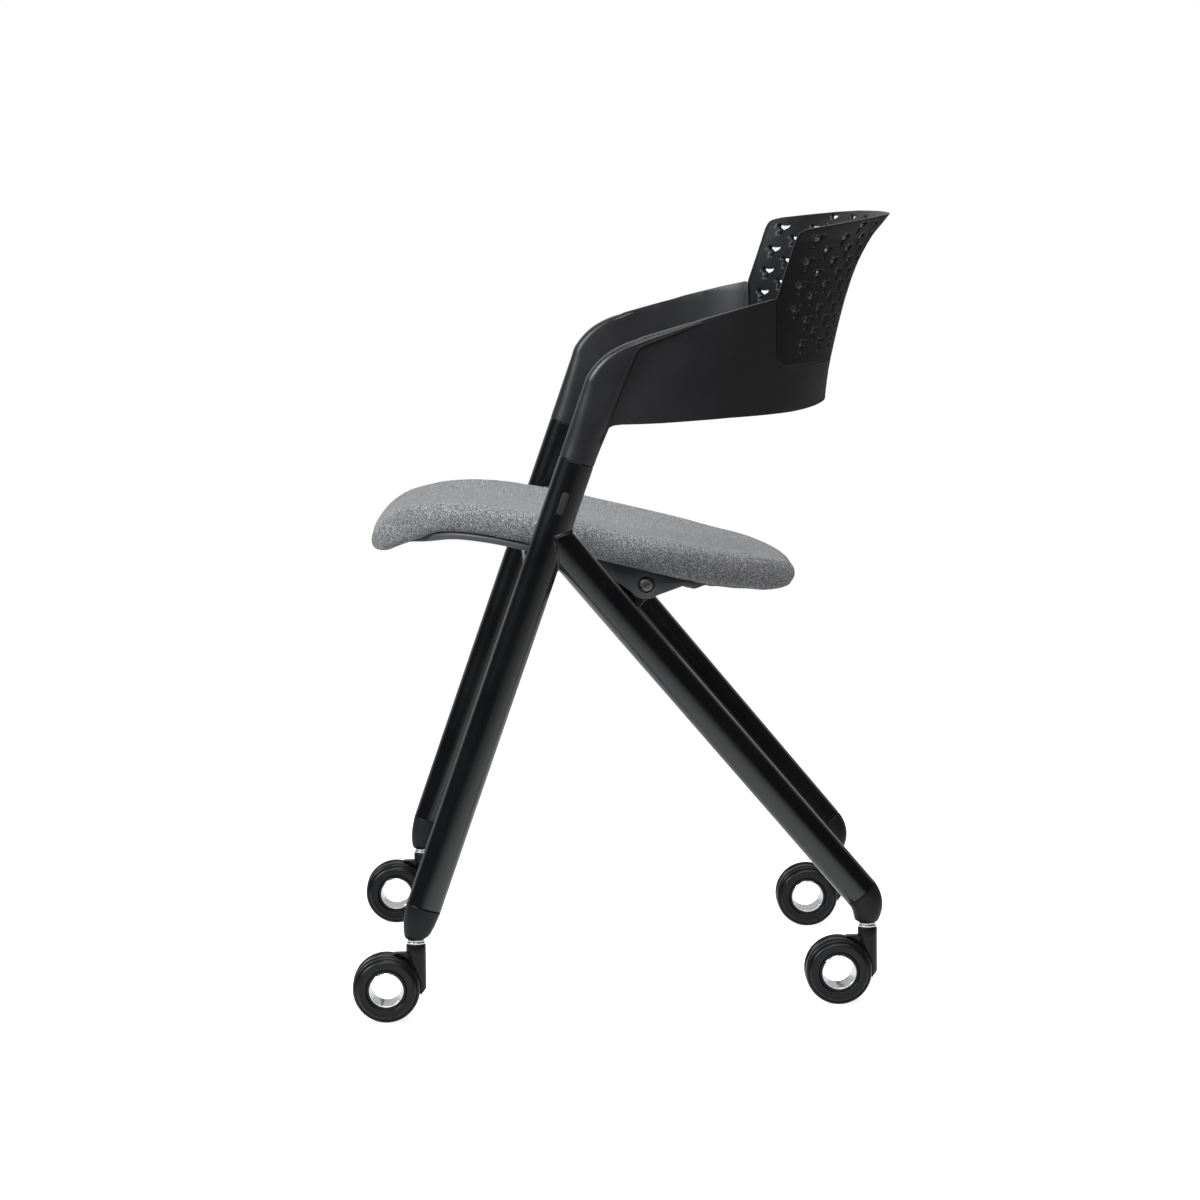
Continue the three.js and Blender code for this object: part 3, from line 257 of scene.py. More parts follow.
def holed_plate(bm, matrix, outline, middle, rim, bore):
    """Plate with a round hole: the rim is (depth, inset) pairs and the bore (depth, radius) pairs."""
    middle = Vector(middle)
    points = dense(outline)
    ways = [(point - middle).normalized() for point in points]
    rings = []
    for depth, inset in rim:
        rings.append((depth, [point - way * inset for point, way in zip(points, ways)]))
    for depth, radius in bore:
        rings.append((depth, [middle + way * radius for way in ways]))
    lift = matrix.to_3x3() @ UP
    sweep(bm, [[p + lift * depth for p in placed(matrix, ring)] for depth, ring in rings], closed=True)


def join(bm, other):
    """Adds another drawing to this one."""
    mesh = bpy.data.meshes.new("joined")
    other.to_mesh(mesh)
    other.free()
    bm.from_mesh(mesh)
    bpy.data.meshes.remove(mesh)


def mirrored(bm, side):
    """The drawing, turned over to the side where side is -1."""
    bmesh.ops.scale(bm, vec=(side, 1, 1), verts=bm.verts)
    return bm


def finish(name, bm, look, body, nodes, side=1, crease=32):
    """Closes the drawing: metres, outward faces, smooth shading, and the body and nodes it stands for."""
    bmesh.ops.scale(bm, vec=(side * MM, MM, MM), verts=bm.verts)
    bmesh.ops.recalc_face_normals(bm, faces=bm.faces)
    mesh = bpy.data.meshes.new(name)
    bm.to_mesh(mesh)
    bm.free()
    mesh.shade_smooth()
    mesh.set_sharp_from_angle(angle=math.radians(crease))
    piece = bpy.data.objects.new(name, mesh)
    bpy.context.collection.objects.link(piece)
    piece.data.materials.append(look)
    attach(piece, body)
    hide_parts(*nodes)


# Finishes: a noise lies mostly between these two values
NOISE_LOW, NOISE_HIGH = 0.3, 0.7


def feed(tree, socket, value):
    """Links an output to a socket, or sets a constant on it."""
    if isinstance(value, bpy.types.NodeSocket):
        tree.links.new(value, socket)
    else:
        socket.default_value = value


def math_node(tree, operation, first, second):
    """Result of a Math node over two values."""
    node = tree.nodes.new("ShaderNodeMath")
    node.operation = operation
    feed(tree, node.inputs[0], first)
    feed(tree, node.inputs[1], second)
    return node.outputs[0]


def map_node(tree, value, given, wanted):
    """Map Range node that takes the given range of a value to the wanted one."""
    node = tree.nodes.new("ShaderNodeMapRange")
    feed(tree, node.inputs["Value"], value)
    for end, low_high in (("From", given), ("To", wanted)):
        feed(tree, node.inputs[f"{end} Min"], low_high[0])
        feed(tree, node.inputs[f"{end} Max"], low_high[1])
    return node


def mix_node(tree, factor, first, second, blend="MIX"):
    """Result of a Mix node over two colours."""
    node = tree.nodes.new("ShaderNodeMix")
    node.data_type = "RGBA"
    node.blend_type = blend
    for name, value in (("Factor", factor), ("A", first), ("B", second)):
        feed(tree, node.inputs[name], value)
    return node.outputs["Result"]


def new_look(name, base, roughness, metallic=0.0, sheen=0.0):
    """A material with its shader, and the node tree to build on."""
    look = bpy.data.materials.new(name)
    look.use_nodes = True
    tree = look.node_tree
    shader = tree.nodes["Principled BSDF"]
    shader.inputs["Base Color"].default_value = (*base, 1)
    shader.inputs["Roughness"].default_value = roughness
    shader.inputs["Metallic"].default_value = metallic
    shader.inputs["Sheen Weight"].default_value = sheen
    return look, tree, shader


def grain(tree, scale, detail=2.0, stretch=(1, 1, 1)):
    """A noise over the piece, in its own metres."""
    place = tree.nodes.new("ShaderNodeTexCoord")
    turned = tree.nodes.new("ShaderNodeMapping")
    feed(tree, turned.inputs["Scale"], stretch)
    feed(tree, turned.inputs["Vector"], place.outputs["Object"])
    noise = tree.nodes.new("ShaderNodeTexNoise")
    feed(tree, noise.inputs["Scale"], scale)
    feed(tree, noise.inputs["Detail"], detail)
    feed(tree, noise.inputs["Vector"], turned.outputs["Vector"])
    return noise.outputs["Fac"]


def ramp(tree, value, stops):
    """Colour ramp over a value."""
    node = tree.nodes.new("ShaderNodeValToRGB")
    node.color_ramp.elements[0].position = stops[0][0]
    node.color_ramp.elements[1].position = stops[-1][0]
    for position, _ in stops[1:-1]:
        node.color_ramp.elements.new(position)
    for element, (_, colour) in zip(node.color_ramp.elements, stops):
        element.color = (*colour, 1)
    tree.links.new(value, node.inputs["Fac"])
    return node.outputs["Color"]


def tint(tree, shader, value, dark, light):
    """The piece's colour goes from dark to light over a noise."""
    feed(tree, shader.inputs["Base Color"], ramp(tree, value, [(NOISE_LOW, dark), (NOISE_HIGH, light)]))


def gloss(tree, shader, value, low, high):
    """The piece's roughness goes from low to high over a noise."""
    node = map_node(tree, value, (NOISE_LOW, NOISE_HIGH), (low, high))
    feed(tree, shader.inputs["Roughness"], node.outputs["Result"])


def bumps(tree, shader, layers):
    """Stacks bumps of (height output, strength, distance in metres)."""
    normal = None
    for height, strength, distance in layers:
        node = tree.nodes.new("ShaderNodeBump")
        for socket, value in (("Strength", strength), ("Distance", distance), ("Height", height)):
            feed(tree, node.inputs[socket], value)
        if normal:
            feed(tree, node.inputs["Normal"], normal)
        normal = node.outputs["Normal"]
    feed(tree, shader.inputs["Normal"], normal)


def moulded(name, dark, light, rough, fine=2600, shine=0.5):
    """Moulded nylon: a fine spark texture and a slight unevenness in tone and gloss."""
    look, tree, shader = new_look(name, dark, rough)
    shader.inputs["Specular IOR Level"].default_value = shine
    cloud = grain(tree, 14, 2.0)
    tint(tree, shader, cloud, dark, light)
    gloss(tree, shader, cloud, rough - 0.05, rough + 0.05)
    bumps(tree, shader, [(grain(tree, fine, 3.0), 0.5, 0.00005)])
    return look


def powder_coat():
    """Satin black powder coat over steel: faint orange peel, small gloss changes."""
    look, tree, shader = new_look("powder_coat", (0.002, 0.0022, 0.0026), 0.24)
    cloud = grain(tree, 18, 3.0)
    gloss(tree, shader, cloud, 0.17, 0.24)
    tint(tree, shader, cloud, (0.0018, 0.002, 0.0024), (0.0026, 0.0028, 0.0032))
    shader.inputs["Coat Weight"].default_value = 0.25
    shader.inputs["Coat Roughness"].default_value = 0.12
    bumps(tree, shader, [(grain(tree, 520, 2.0), 0.35, 0.00006)])
    return look


def melange():
    """Grey two-tone felted wool: light and dark fibres, a fine weave and a soft nap."""
    look, tree, shader = new_look("melange_wool", (0.2, 0.2, 0.21), 0.95, sheen=0.12)
    shader.inputs["Sheen Roughness"].default_value = 0.5
    fibre = grain(tree, 620, 4.0, stretch=(0.4, 1.6, 1.0))
    fleck = grain(tree, 1500, 2.0)
    tuft = grain(tree, 380, 3.0, stretch=(0.4, 1.0, 1.0))
    patch = grain(tree, 60, 3.0)
    tone = ramp(tree, fibre, [
        (0.32, (0.06, 0.061, 0.066)), (0.45, (0.16, 0.162, 0.168)),
        (0.56, (0.3, 0.302, 0.308)), (0.7, (0.56, 0.56, 0.565)),
    ])
    for value, shade in ((fleck, 0.55), (tuft, 0.72)):
        darker = ramp(tree, value, [(0.36, (shade,) * 3), (0.64, (1, 1, 1))])
        tone = mix_node(tree, 1.0, tone, darker, "MULTIPLY")
    feed(tree, shader.inputs["Base Color"], tone)
    bumps(tree, shader, [
        (patch, 0.2, 0.0006), (tuft, 0.6, 0.0011), (fibre, 0.5, 0.0005), (fleck, 0.5, 0.0002),
    ])
    return look


def plated(name, colour, rough, brush=1):
    """Plated steel with fine turning lines."""
    look, tree, shader = new_look(name, colour, rough, metallic=1.0)
    lines = grain(tree, 300, 2.0, stretch=(1, 1, brush))
    gloss(tree, shader, lines, rough * 0.8, rough * 1.3)
    bumps(tree, shader, [(lines, 0.08, 0.00004)])
    return look


def rubber():
    """Black rubber with a dry surface."""
    look, tree, shader = new_look("black_rubber", (0.012, 0.012, 0.013), 0.62)
    dust = grain(tree, 900, 3.0)
    gloss(tree, shader, dust, 0.5, 0.75)
    bumps(tree, shader, [(dust, 0.3, 0.00008)])
    return look


def plywood():
    """Beech plywood, its grain along Y."""
    look, tree, shader = new_look("beech_plywood", (0.45, 0.3, 0.16), 0.6)
    streak = grain(tree, 60, 4.0, stretch=(6, 0.6, 6))
    tint(tree, shader, streak, (0.36, 0.22, 0.11), (0.56, 0.38, 0.21))
    bumps(tree, shader, [(streak, 0.2, 0.0002)])
    return look


steel_black = powder_coat()
bow_nylon = moulded("bow_nylon", (0.0132, 0.0132, 0.0146), (0.016, 0.016, 0.0176), 0.38)
back_nylon = moulded("back_nylon", (0.0075, 0.0075, 0.0085), (0.0095, 0.0095, 0.0108), 0.36, shine=0.3)
cap_nylon = moulded("cap_nylon", (0.0055, 0.0055, 0.0062), (0.0075, 0.0075, 0.0084), 0.42, shine=0.22)
caster_nylon = moulded("caster_nylon", (0.003, 0.003, 0.0034), (0.0045, 0.0045, 0.005), 0.32, shine=0.3)
tread_nylon = moulded("tread_nylon", (0.003, 0.003, 0.0034), (0.005, 0.005, 0.0056), 0.33, 1800, 0.3)
# The seat pan's dark grey, ears and all, is partly the plastic's own tone and partly painted reflection:
# black plastic drawn lighter, the way the white floor shows in it under the seat's front.
pan_nylon_painted_reflection = moulded("pan_nylon_painted_reflection", (0.05, 0.051, 0.054), (0.062, 0.063, 0.066), 0.45, fine=1500)
wool = melange()
zinc = plated("zinc_plate", (0.72, 0.73, 0.75), 0.28)
chrome = plated("hub_chrome", (0.8, 0.81, 0.82), 0.2, brush=0.05)
bolt_black = plated("black_oxide", (0.24, 0.232, 0.224), 0.4)
black_rubber = rubber()
beech = plywood()
bush_acetal = moulded("bush_acetal", (0.6, 0.59, 0.56), (0.66, 0.65, 0.62), 0.4)


# Legs, bars and welds
def tube(bm, start, end, radius, sides=64, edge=0.6):
    """Round tube with a small edge at both ends."""
    axis = (end - start).normalized()
    places = [(start, radius - edge), (start + axis * edge, radius)]
    places += [(end - axis * edge, radius), (end, radius - edge)]
    sweep(bm, [placed(stand_on(place, axis), disc(size, sides)) for place, size in places])


def bead(bm, root, direction, radius, leg_axis, size):
    """Weld bead, with its ripples, where a tube runs into the side of a leg at its middle line."""
    steps, ripples = 120, 30
    flat = direction - leg_axis * direction.dot(leg_axis)
    path = []
    for start in placed(stand_on(root, direction), disc(radius, steps)):
        off = start - root
        off -= leg_axis * off.dot(leg_axis)
        a, b, c = flat.dot(flat), 2 * off.dot(flat), off.dot(off) - LEG ** 2
        path.append(start + direction * (math.sqrt(max(b * b - 4 * a * c, 0)) - b) / (2 * a))
    rings = []
    for i, point in enumerate(path):
        run = path[(i + 1) % steps] - path[i - 1]
        ripple = size * (1 + 0.1 * math.sin(2 * math.pi * i * ripples / steps))
        rings.append(placed(stand_on(point, run, direction), disc(ripple, 10)))
    sweep(bm, rings, closed=True)


def leg_pair():
    """Front and rear leg of each side, with the weld where they part."""
    for side, hand in HANDS:
        bm = bmesh.new()
        tube(bm, FRONT_FOOT, ARM_JOINT, LEG)
        finish(f"front_leg_tube_{hand}", bm, steel_black, "frame", [f"front_leg_{hand}"], side)
        bm = bmesh.new()
        tube(bm, BRANCH + REAR_DOWN * 4, REAR_FOOT, LEG)
        bead(bm, BRANCH, REAR_DOWN, LEG, LEG_UP, LEG_BEAD)
        finish(f"rear_leg_tube_{hand}", bm, steel_black, "frame", [f"rear_leg_{hand}"], side)


def cross_bar(name, end, radius, leg_axis):
    """Bar between two legs, with a weld at each end. It runs a little way into them."""
    bm = bmesh.new()
    across = Matrix.Diagonal((-1, 1, 1))
    reach = ACROSS * LEG * 0.7
    tube(bm, across @ end + reach, end - reach, radius, sides=56)
    bead(bm, end, -ACROSS, radius, leg_axis, BAR_BEAD)
    bead(bm, across @ end, ACROSS, radius, across @ leg_axis, BAR_BEAD)
    finish(f"{name}_tube", bm, steel_black, "frame", [name])


front_bar_end = at_height(FRONT_FOOT, ARM_JOINT, middle_of("front_cross_bar").z)
rear_bar_end = at_height(BRANCH, REAR_FOOT, middle_of("rear_cross_bar").z)
leg_pair()
cross_bar("front_cross_bar", front_bar_end, FRONT_BAR, LEG_UP)
cross_bar("rear_cross_bar", rear_bar_end, REAR_BAR, REAR_DOWN)


# Leg caps and casters. Down the cap, its middle leaves the tube's line and its radius narrows.
BELLY_ROOM = [(0, 0), (0.5, 0.25), (0.8, 0.5), (1, 1)]
BELLY_SIZE = [(0, 1), (0.5, 0.74), (0.8, 0.4), (1, 0)]


def leg_cap(foot, up, stem_x, stem_y):
    """Cap that turns a slanted tube end into an upright socket."""
    bm = bmesh.new()
    seam = foot - up * 0.4
    bottom = Vector((stem_x, stem_y, CAP_BOTTOM))
    rings = []
    for rise, inset in ((3.4, 3), (0, 3), (0, 0.7), (-0.25, 0.2), (-0.8, 0)):
        rings.append(placed(stand_on(seam + up * rise, up), disc(LEG - inset)))
    steps = 22
    for i in range(1, steps):
        share = 0.03 + 0.94 * i / steps
        middle = seam.lerp(bottom, share)
        straight = seam - up * ((seam.z - middle.z) / up.z)
        room = along(BELLY_ROOM, share)
        middle = middle.lerp(Vector((straight.x, straight.y, middle.z)), (1 - room) * (1 - share))
        radius = CAP_END + (LEG - CAP_END) * along(BELLY_SIZE, share)
        rings.append(placed(stand_on(middle, up.lerp(UP, share)), disc(radius)))
    for drop, radius in ((1.2, 10.3), (0.5, 9.8), (0.1, 9.0), (0, 8.2)):
        rings.append(placed(stand_on(bottom + UP * drop, UP), disc(radius)))
    sweep(bm, rings)
    return bm


def caster_wheel():
    """One wheel of the twin caster: flat hub face, step, shoulder, groove and tread."""
    bm = bmesh.new()
    turn(bm, stand_on(HUB, ACROSS, UP), [
        (4.2, 19.6, 0.3), (4.2, 28.4, 0.5), (5.2, 31.2, 1.2), (7.6, 32.5, 2), (13.2, 32.5, 2.4),
        (16.4, 31.0, 1), (16.9, 29.9, 0.2), (16.5, 29.4, 0.2), (17.2, 29.0, 0.2), (19.2, 27.9, 1.4),
        (19.9, 26.2, 0.4), (19.8, 25.8, 0), (19.3, 25.7, 0.1), (19.3, 20.2, 0.5), (18.6, 19.6, 0.4),
    ], steps=96)
    return bm


def column_section(radius, front, rear, sides=56):
    """Round section, cut flat in front by the wheel's room and behind by the foot's chamfer."""
    start = math.pi - math.asin(front / radius)
    arc = 3 * math.pi - 2 * start
    chord = math.sqrt(radius ** 2 - front ** 2)
    points = []
    for angle in round_steps(sides, 0.5):
        off = (angle - start) % (2 * math.pi)
        if off < arc:
            points.append((-chord + 2 * chord * off / arc, front))
        else:
            points.append((radius * math.cos(angle), min(radius * math.sin(angle), rear)))
    return points


def caster_housing():
    """Column, web and hub barrel."""
    bm = bmesh.new()
    low, high, steps = 25.4, 65.6, 30
    rings = []
    for i in range(steps + 1):
        z = low + (high - low) * i / steps
        drop = WHEEL_ROOM ** 2 - (z - HUB.z) ** 2
        front = max(HUB.y + math.sqrt(drop) if drop > 0 else -COLUMN, 0.1 - COLUMN)
        rear = max(COLUMN - max(31 - z, 0), front + 0.5)
        rings.append(placed(Matrix.Translation((0, 0, z)), column_section(COLUMN, front, rear)))
    for z, radius in ((65.7, 9.1), (66.3, 9.1), (66.4, COLUMN), (72.8, COLUMN), (73.6, 9.2), (74, 8.6)):
        rings.append(placed(Matrix.Translation((0, 0, z)), disc(radius, 56)))
    sweep(bm, rings)

    # The web reaches round the hub, from the column's foot to its shoulder
    web = [(9.0, 66.1), (9.0, 31.2), (3.2, 25.2), (-4.0, 25.0)]
    for i in range(41):
        angle = math.radians(-17 - (360 - 17 - 75) * i / 40)
        web.append((HUB.y + 27.3 * math.cos(angle), HUB.z + 27.3 * math.sin(angle)))
    web += [(-21.8, 64.6), (-20.8, 65.8)]
    rim = [(0, 0.5), (0.15, 0.15), (0.5, 0), (5.5, 0), (5.85, 0.15), (6, 0.5)]
    holed_plate(bm, side_plane(-3), web, HUB.yz, rim, [(6, 18.5), (0, 18.5)])
    saddle = [(-2.0, 66.1), (-20.5, 65.9)]
    for i in range(13):
        y = -21.4 + 17.4 * i / 12
        saddle.append((y, HUB.z + math.sqrt(WHEEL_ROOM ** 2 - (y - HUB.y) ** 2)))
    plate(bm, side_plane(-6), saddle, 12, edge=0.25, segments=2)
    barrel = [(-18.7, 16.9, 0.2), (18.7, 16.9, 0.2), (18.7, 19.0, 0.4), (-18.7, 19.0, 0.4)]
    turn(bm, stand_on(HUB, ACROSS, UP), barrel)
    return bm


def hub_ring():
    """Bright sleeve through the hub, rounded at each end."""
    bm = bmesh.new()
    sleeve = [(-18.9, 15.4, 0.4), (18.9, 15.4, 0.4), (18.9, 16.7, 0.6), (-18.9, 16.7, 0.6)]
    turn(bm, stand_on(HUB, ACROSS, UP), sleeve, steps=96)
    return bm


def caster_stem():
    """Zinc stem with its flange."""
    bm = bmesh.new()
    turn(bm, Matrix(), [
        (62, 0, 0), (62, 5.4, 0.8), (76.5, 5.4, 0), (76.5, 7.6, 0.3), (77, 8, 0.2), (78.2, 8, 0.2),
        (78.7, 7.6, 0.2), (78.7, 5.4, 0), (101, 5.4, 1), (101, 0, 0),
    ], steps=56, closed=False)
    return bm


def stem_washer():
    """Washer between the housing and the flange."""
    bm = bmesh.new()
    turn(bm, Matrix(), [(74.3, 5.8, 0.2), (74.3, 8.7, 0.4), (76.1, 8.7, 0.5), (76.1, 5.8, 0.2)], steps=56)
    return bm


def casters():
    """The cap, the caster and the two wheels at each foot."""
    for corner, (x, y, side) in STEMS.items():
        front = corner.startswith("front")
        foot, up = (FRONT_FOOT, LEG_UP) if front else (REAR_FOOT, -REAR_DOWN)
        bm = leg_cap(foot, up, x, y)
        finish(f"{corner}_cap", bm, cap_nylon, "frame", [f"{corner}_leg_cap"], side, crease=40)
        for part, drawn, look, body, slot in (
            ("stem", caster_stem, zinc, "frame", "zinc_steel"),
            ("washer", stem_washer, zinc, "frame", "zinc_steel"),
            ("housing", caster_housing, caster_nylon, f"{corner}_caster", "caster_plastic"),
            ("hub_ring", hub_ring, chrome, f"{corner}_caster", "hub_chrome"),
        ):
            bm = drawn()
            bmesh.ops.translate(bm, verts=bm.verts, vec=(x, y, 0))
            finish(f"{corner}_{part}_piece", bm, look, body, [f"{corner}_{part}"], side)
        for face, flip in (("outer", 1), ("inner", -1)):
            bm = mirrored(caster_wheel(), flip)
            bmesh.ops.translate(bm, verts=bm.verts, vec=(x, y, 0))
            node = f"{corner}_{face}_wheel"
            finish(f"{node}_piece", bm, tread_nylon, node, [node], side)


casters()


# Small pieces of the frame and the pivots. The ear stands 0.9 mm in from the bolt's crown.
PIVOT = Vector((0, *middle_of("pivot_bolt_left").yz))
EAR_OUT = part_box("pivot_bolt_left")[1].x / MM - 0.9
EAR_IN = EAR_OUT - 7
EAR_FRONT, EAR_REAR = PIVOT.y - 52, PIVOT.y + 46
TAB_IN, TAB_OUT = EAR_OUT - 13.8, EAR_OUT - 8.8


def pivot_tab():
    """Steel tab from the rear bar to the pivot, rounded over both."""
    bm = bmesh.new()
    eye, collar = (*PIVOT.yz, 11.0), (*rear_bar_end.yz, 18.0)
    outline = []
    for a, b in disc(1, 72):
        y, z, radius = max((eye, collar), key=lambda end: end[0] * a + end[1] * b + end[2])
        outline.append((y + radius * a, z + radius * b))
    plate(bm, side_plane(TAB_IN), outline, TAB_OUT - TAB_IN, edge=0.7)
    weld = stand_on(Vector((TAB_OUT, *rear_bar_end.yz)), ACROSS, UP)
    turn(bm, weld, [(-0.6, 13.6, 0), (1.6, 13.6, 0.4), (1.6, 14.8, 1.0), (-0.6, 16.6, 0.8)], steps=56)
    return bm


def rod_of(rings):
    """Sweep along the pivot's axis, from (X from the ear's outer face, outline) rings."""
    bm = bmesh.new()
    axis = Vector((EAR_OUT, PIVOT.y, PIVOT.z))
    sweep(bm, [placed(stand_on(axis + ACROSS * x, ACROSS, UP), outline) for x, outline in rings])
    return bm


def pivot_bolt():
    """Button-head bolt with a hex socket."""
    crown = [(-2.8, 7), (-1.6, 7), (-0.8, 6.8), (-0.1, 6.3), (0.5, 5.4), (0.9, 4.3)]
    return rod_of([
        (-20.4, disc(3.6, 48)), (-20, disc(4, 48)), (-3.1, disc(4, 48)), (-3.1, disc(6.7, 48)),
        *((x, disc(radius, 48)) for x, radius in crown),
        (0.9, hexagon(5.6)), (0.6, hexagon(5.0)), (-1.2, hexagon(5.0)),
    ])


def pivot_nut():
    """Hex nut inside the tab."""
    return rod_of([
        (-20.1, disc(6.3, 48)), (-19.5, hexagon(14)), (-14.7, hexagon(14)), (-14.1, disc(6.5, 48)),
    ])


def pivot_bush():
    """Flanged bush between the tab and the ear."""
    bm = bmesh.new()
    turn(bm, stand_on(PIVOT + ACROSS * EAR_OUT, ACROSS, UP), [
        (-8.5, 4.4, 0), (-8.5, 10, 0.2), (-7.3, 10, 0.2), (-7.3, 6, 0), (-3.5, 6, 0), (-3.5, 4.4, 0),
    ], steps=56)
    return bm


def seat_screw(seat, reach):
    """Domed screw with a hex socket, its head hanging under the seat's board."""
    radius, head, height = 2.5, 5.5, 0.9
    socket, crown = hexagon(head * 0.8), disc(head * 0.6, 48)
    rings = [(-height * 0.4, socket), (-height, socket), (-height, crown)]
    rings += [(-height * (1 - 0.55 * t * t), disc(head * (0.6 + 0.4 * t), 48)) for t in (0.3, 0.6, 0.85, 1)]
    rings += [(0, disc(head, 48)), (0, disc(radius, 48)), (reach, disc(radius * 0.9, 48))]
    bm = bmesh.new()
    sweep(bm, [placed(stand_on(seat + UP * h, UP, REARWARD), outline) for h, outline in rings])
    return bm


def nesting_pad():
    """Rubber pad let into the outer side of the front leg."""
    bm = bmesh.new()
    middle = at_height(FRONT_FOOT, ARM_JOINT, PAD_HEIGHT)
    face = stand_on(middle + ACROSS * (LEG - 1.5), ACROSS, LEG_UP)
    plate(bm, face, pad_outline(22, 7, 2.4, 40), 3.0, edge=0.7)
    return bm


def arm_screw():
    """Headless set screw from the leg's inner side into the arm's spigot."""
    place = ARM_JOINT - LEG_UP * ARM_SCREW_DROP
    hole = stand_on(place - ACROSS * LEG, ACROSS, LEG_UP)
    rings = [(3.5, hexagon(3)), (0.7, hexagon(3)), (0.5, hexagon(3.4)), (0.5, disc(2.6, 48))]
    rings += [(0.8, disc(3, 48)), (11.5, disc(3, 48)), (12, disc(2.5, 48))]
    bm = bmesh.new()
    sweep(bm, [placed(hole @ Matrix.Translation((0, 0, h)), outline) for h, outline in rings])
    return bm


def small_pieces():
    """Pivots, pads and screws of both sides."""
    for side, hand in HANDS:
        for part, drawn, look, slot in (
            ("pivot_tab", pivot_tab, steel_black, "frame_paint"),
            ("pivot_bolt", pivot_bolt, bolt_black, "bolt_black"),
            ("pivot_nut", pivot_nut, zinc, "zinc_steel"),
            ("pivot_bush", pivot_bush, bush_acetal, "bush_plastic"),
            ("nesting_pad", nesting_pad, black_rubber, "black_rubber"),
            ("arm_screw", arm_screw, bolt_black, "bolt_black"),
        ):
            finish(f"{part}_piece_{hand}", drawn(), look, "frame", [f"{part}_{hand}"], side)
    for place in ("front_left", "front_right", "rear_left", "rear_right"):
        low, high = (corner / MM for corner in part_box(f"seat_screw_{place}"))
        middle = (low + high) / 2
        seat = Vector((middle.x, middle.y, low.z + SCREW_HEAD))
        bm = seat_screw(seat, high.z - seat.z)
        finish(f"seat_screw_piece_{place}", bm, zinc, "seat", [f"seat_screw_{place}"])


small_pieces()


# Arm bow and back panel: both follow one shell, a squared ellipse in plan that leans back with height
SHELL_X = 292.0
SHELL_POWER = 2.3
SHELL_LEAN = [
    (569, 202.3), (574, 203.6), (594, 206), (612, 208.8), (634.6, 213.8), (659.7, 220),
    (684.8, 227.2), (712.8, 237.5), (738.8, 251.7), (752.7, 262.9), (763, 271.4),
]
LEAN_MID = 206.0
ARM_WALL, BAND_WALL, PANEL_WALL = 25.0, 7.0, 5.0
# The panel meets the arms at this Y and the band at this height, with this corner between
SEAM_Y = 143.0
BAND_TOP = 619.7
RECESS = 13.0
# Columns of the plan table
RUN, PLAN_X, PLAN_Y = 0, 1, 2


def lean(z):
    """Y of the shell at the middle of the back, at a height."""
    return along(SHELL_LEAN, z)


def squared(share):
    """Partner of one half-axis share on the squared ellipse."""
    return (1 - share ** SHELL_POWER) ** (1 / SHELL_POWER)


def out_of_shell(x, y, z):
    """Outward direction in plan at a place on the shell, for X and Y of 0 and more."""
    steep = SHELL_POWER - 1
    return Vector(((x / SHELL_X) ** steep / SHELL_X, (y / lean(z)) ** steep / lean(z))).normalized()


def plan_table(steps=600):
    """(distance from the middle of the back, X, Y) round half of the bow at the middle lean."""
    share = 2 / SHELL_POWER
    table, before, run = [], None, 0.0
    for i in range(steps + 1):
        angle = math.pi / 2 * i / steps
        here = Vector((SHELL_X * math.sin(angle) ** share, LEAN_MID * max(math.cos(angle), 0) ** share))
        if before is not None:
            run += (here - before).length
        table.append((run, here.x, here.y))
        before = here
    return table


PLAN = plan_table()
PLAN_END = PLAN[-1][RUN]


def lookup(value, key, out):
    """Straight look-up in the plan table from one column to another."""
    rising = PLAN[-1][key] > PLAN[0][key]
    low, high = 0, len(PLAN) - 1
    while high - low > 1:
        mid = (low + high) // 2
        if (PLAN[mid][key] < value) == rising:
            low = mid
        else:
            high = mid
    a, b = PLAN[low], PLAN[high]
    t = min(max((value - a[key]) / (b[key] - a[key]), 0), 1)
    return a[out] + (b[out] - a[out]) * t


def run_at_y(y, z):
    """Distance round the bow of a place on its side, by its Y."""
    return PLAN_END - y if y <= 0 else lookup(y * LEAN_MID / lean(z), PLAN_Y, RUN)


def bow_place(run, z):
    """Outer surface of the bow and the inward direction across its wall."""
    side = math.copysign(1, run)
    reach = abs(run)
    if reach >= PLAN_END:
        return Vector((side * SHELL_X, PLAN_END - reach, z)), Vector((-side, 0, 0))
    x, y = lookup(reach, RUN, PLAN_X), lookup(reach, RUN, PLAN_Y) * lean(z) / LEAN_MID
    out = out_of_shell(x, y, z)
    # Along the sides the wall is measured straight across the chair
    straight = smooth(40, 110, y) * (1 - smooth(160, 196, y)) if out.x > 0.3 else 0
    inward = Vector((-1, 0)) * straight / max(out.x, 0.3) - out * (1 - straight)
    return Vector((side * x, y, z)), Vector((side * inward.x, inward.y, 0))


def wall_at(y):
    """Thickness of the bow: stout over the legs, thin behind the sitter."""
    return ARM_WALL + (BAND_WALL - ARM_WALL) * min(max(y, 0) / 135, 1)


def mirror_outline(half):
    """Whole outline from its +run half, listed from the top of the back to its foot."""
    return half + [(-a, b) for a, b in reversed(half)]


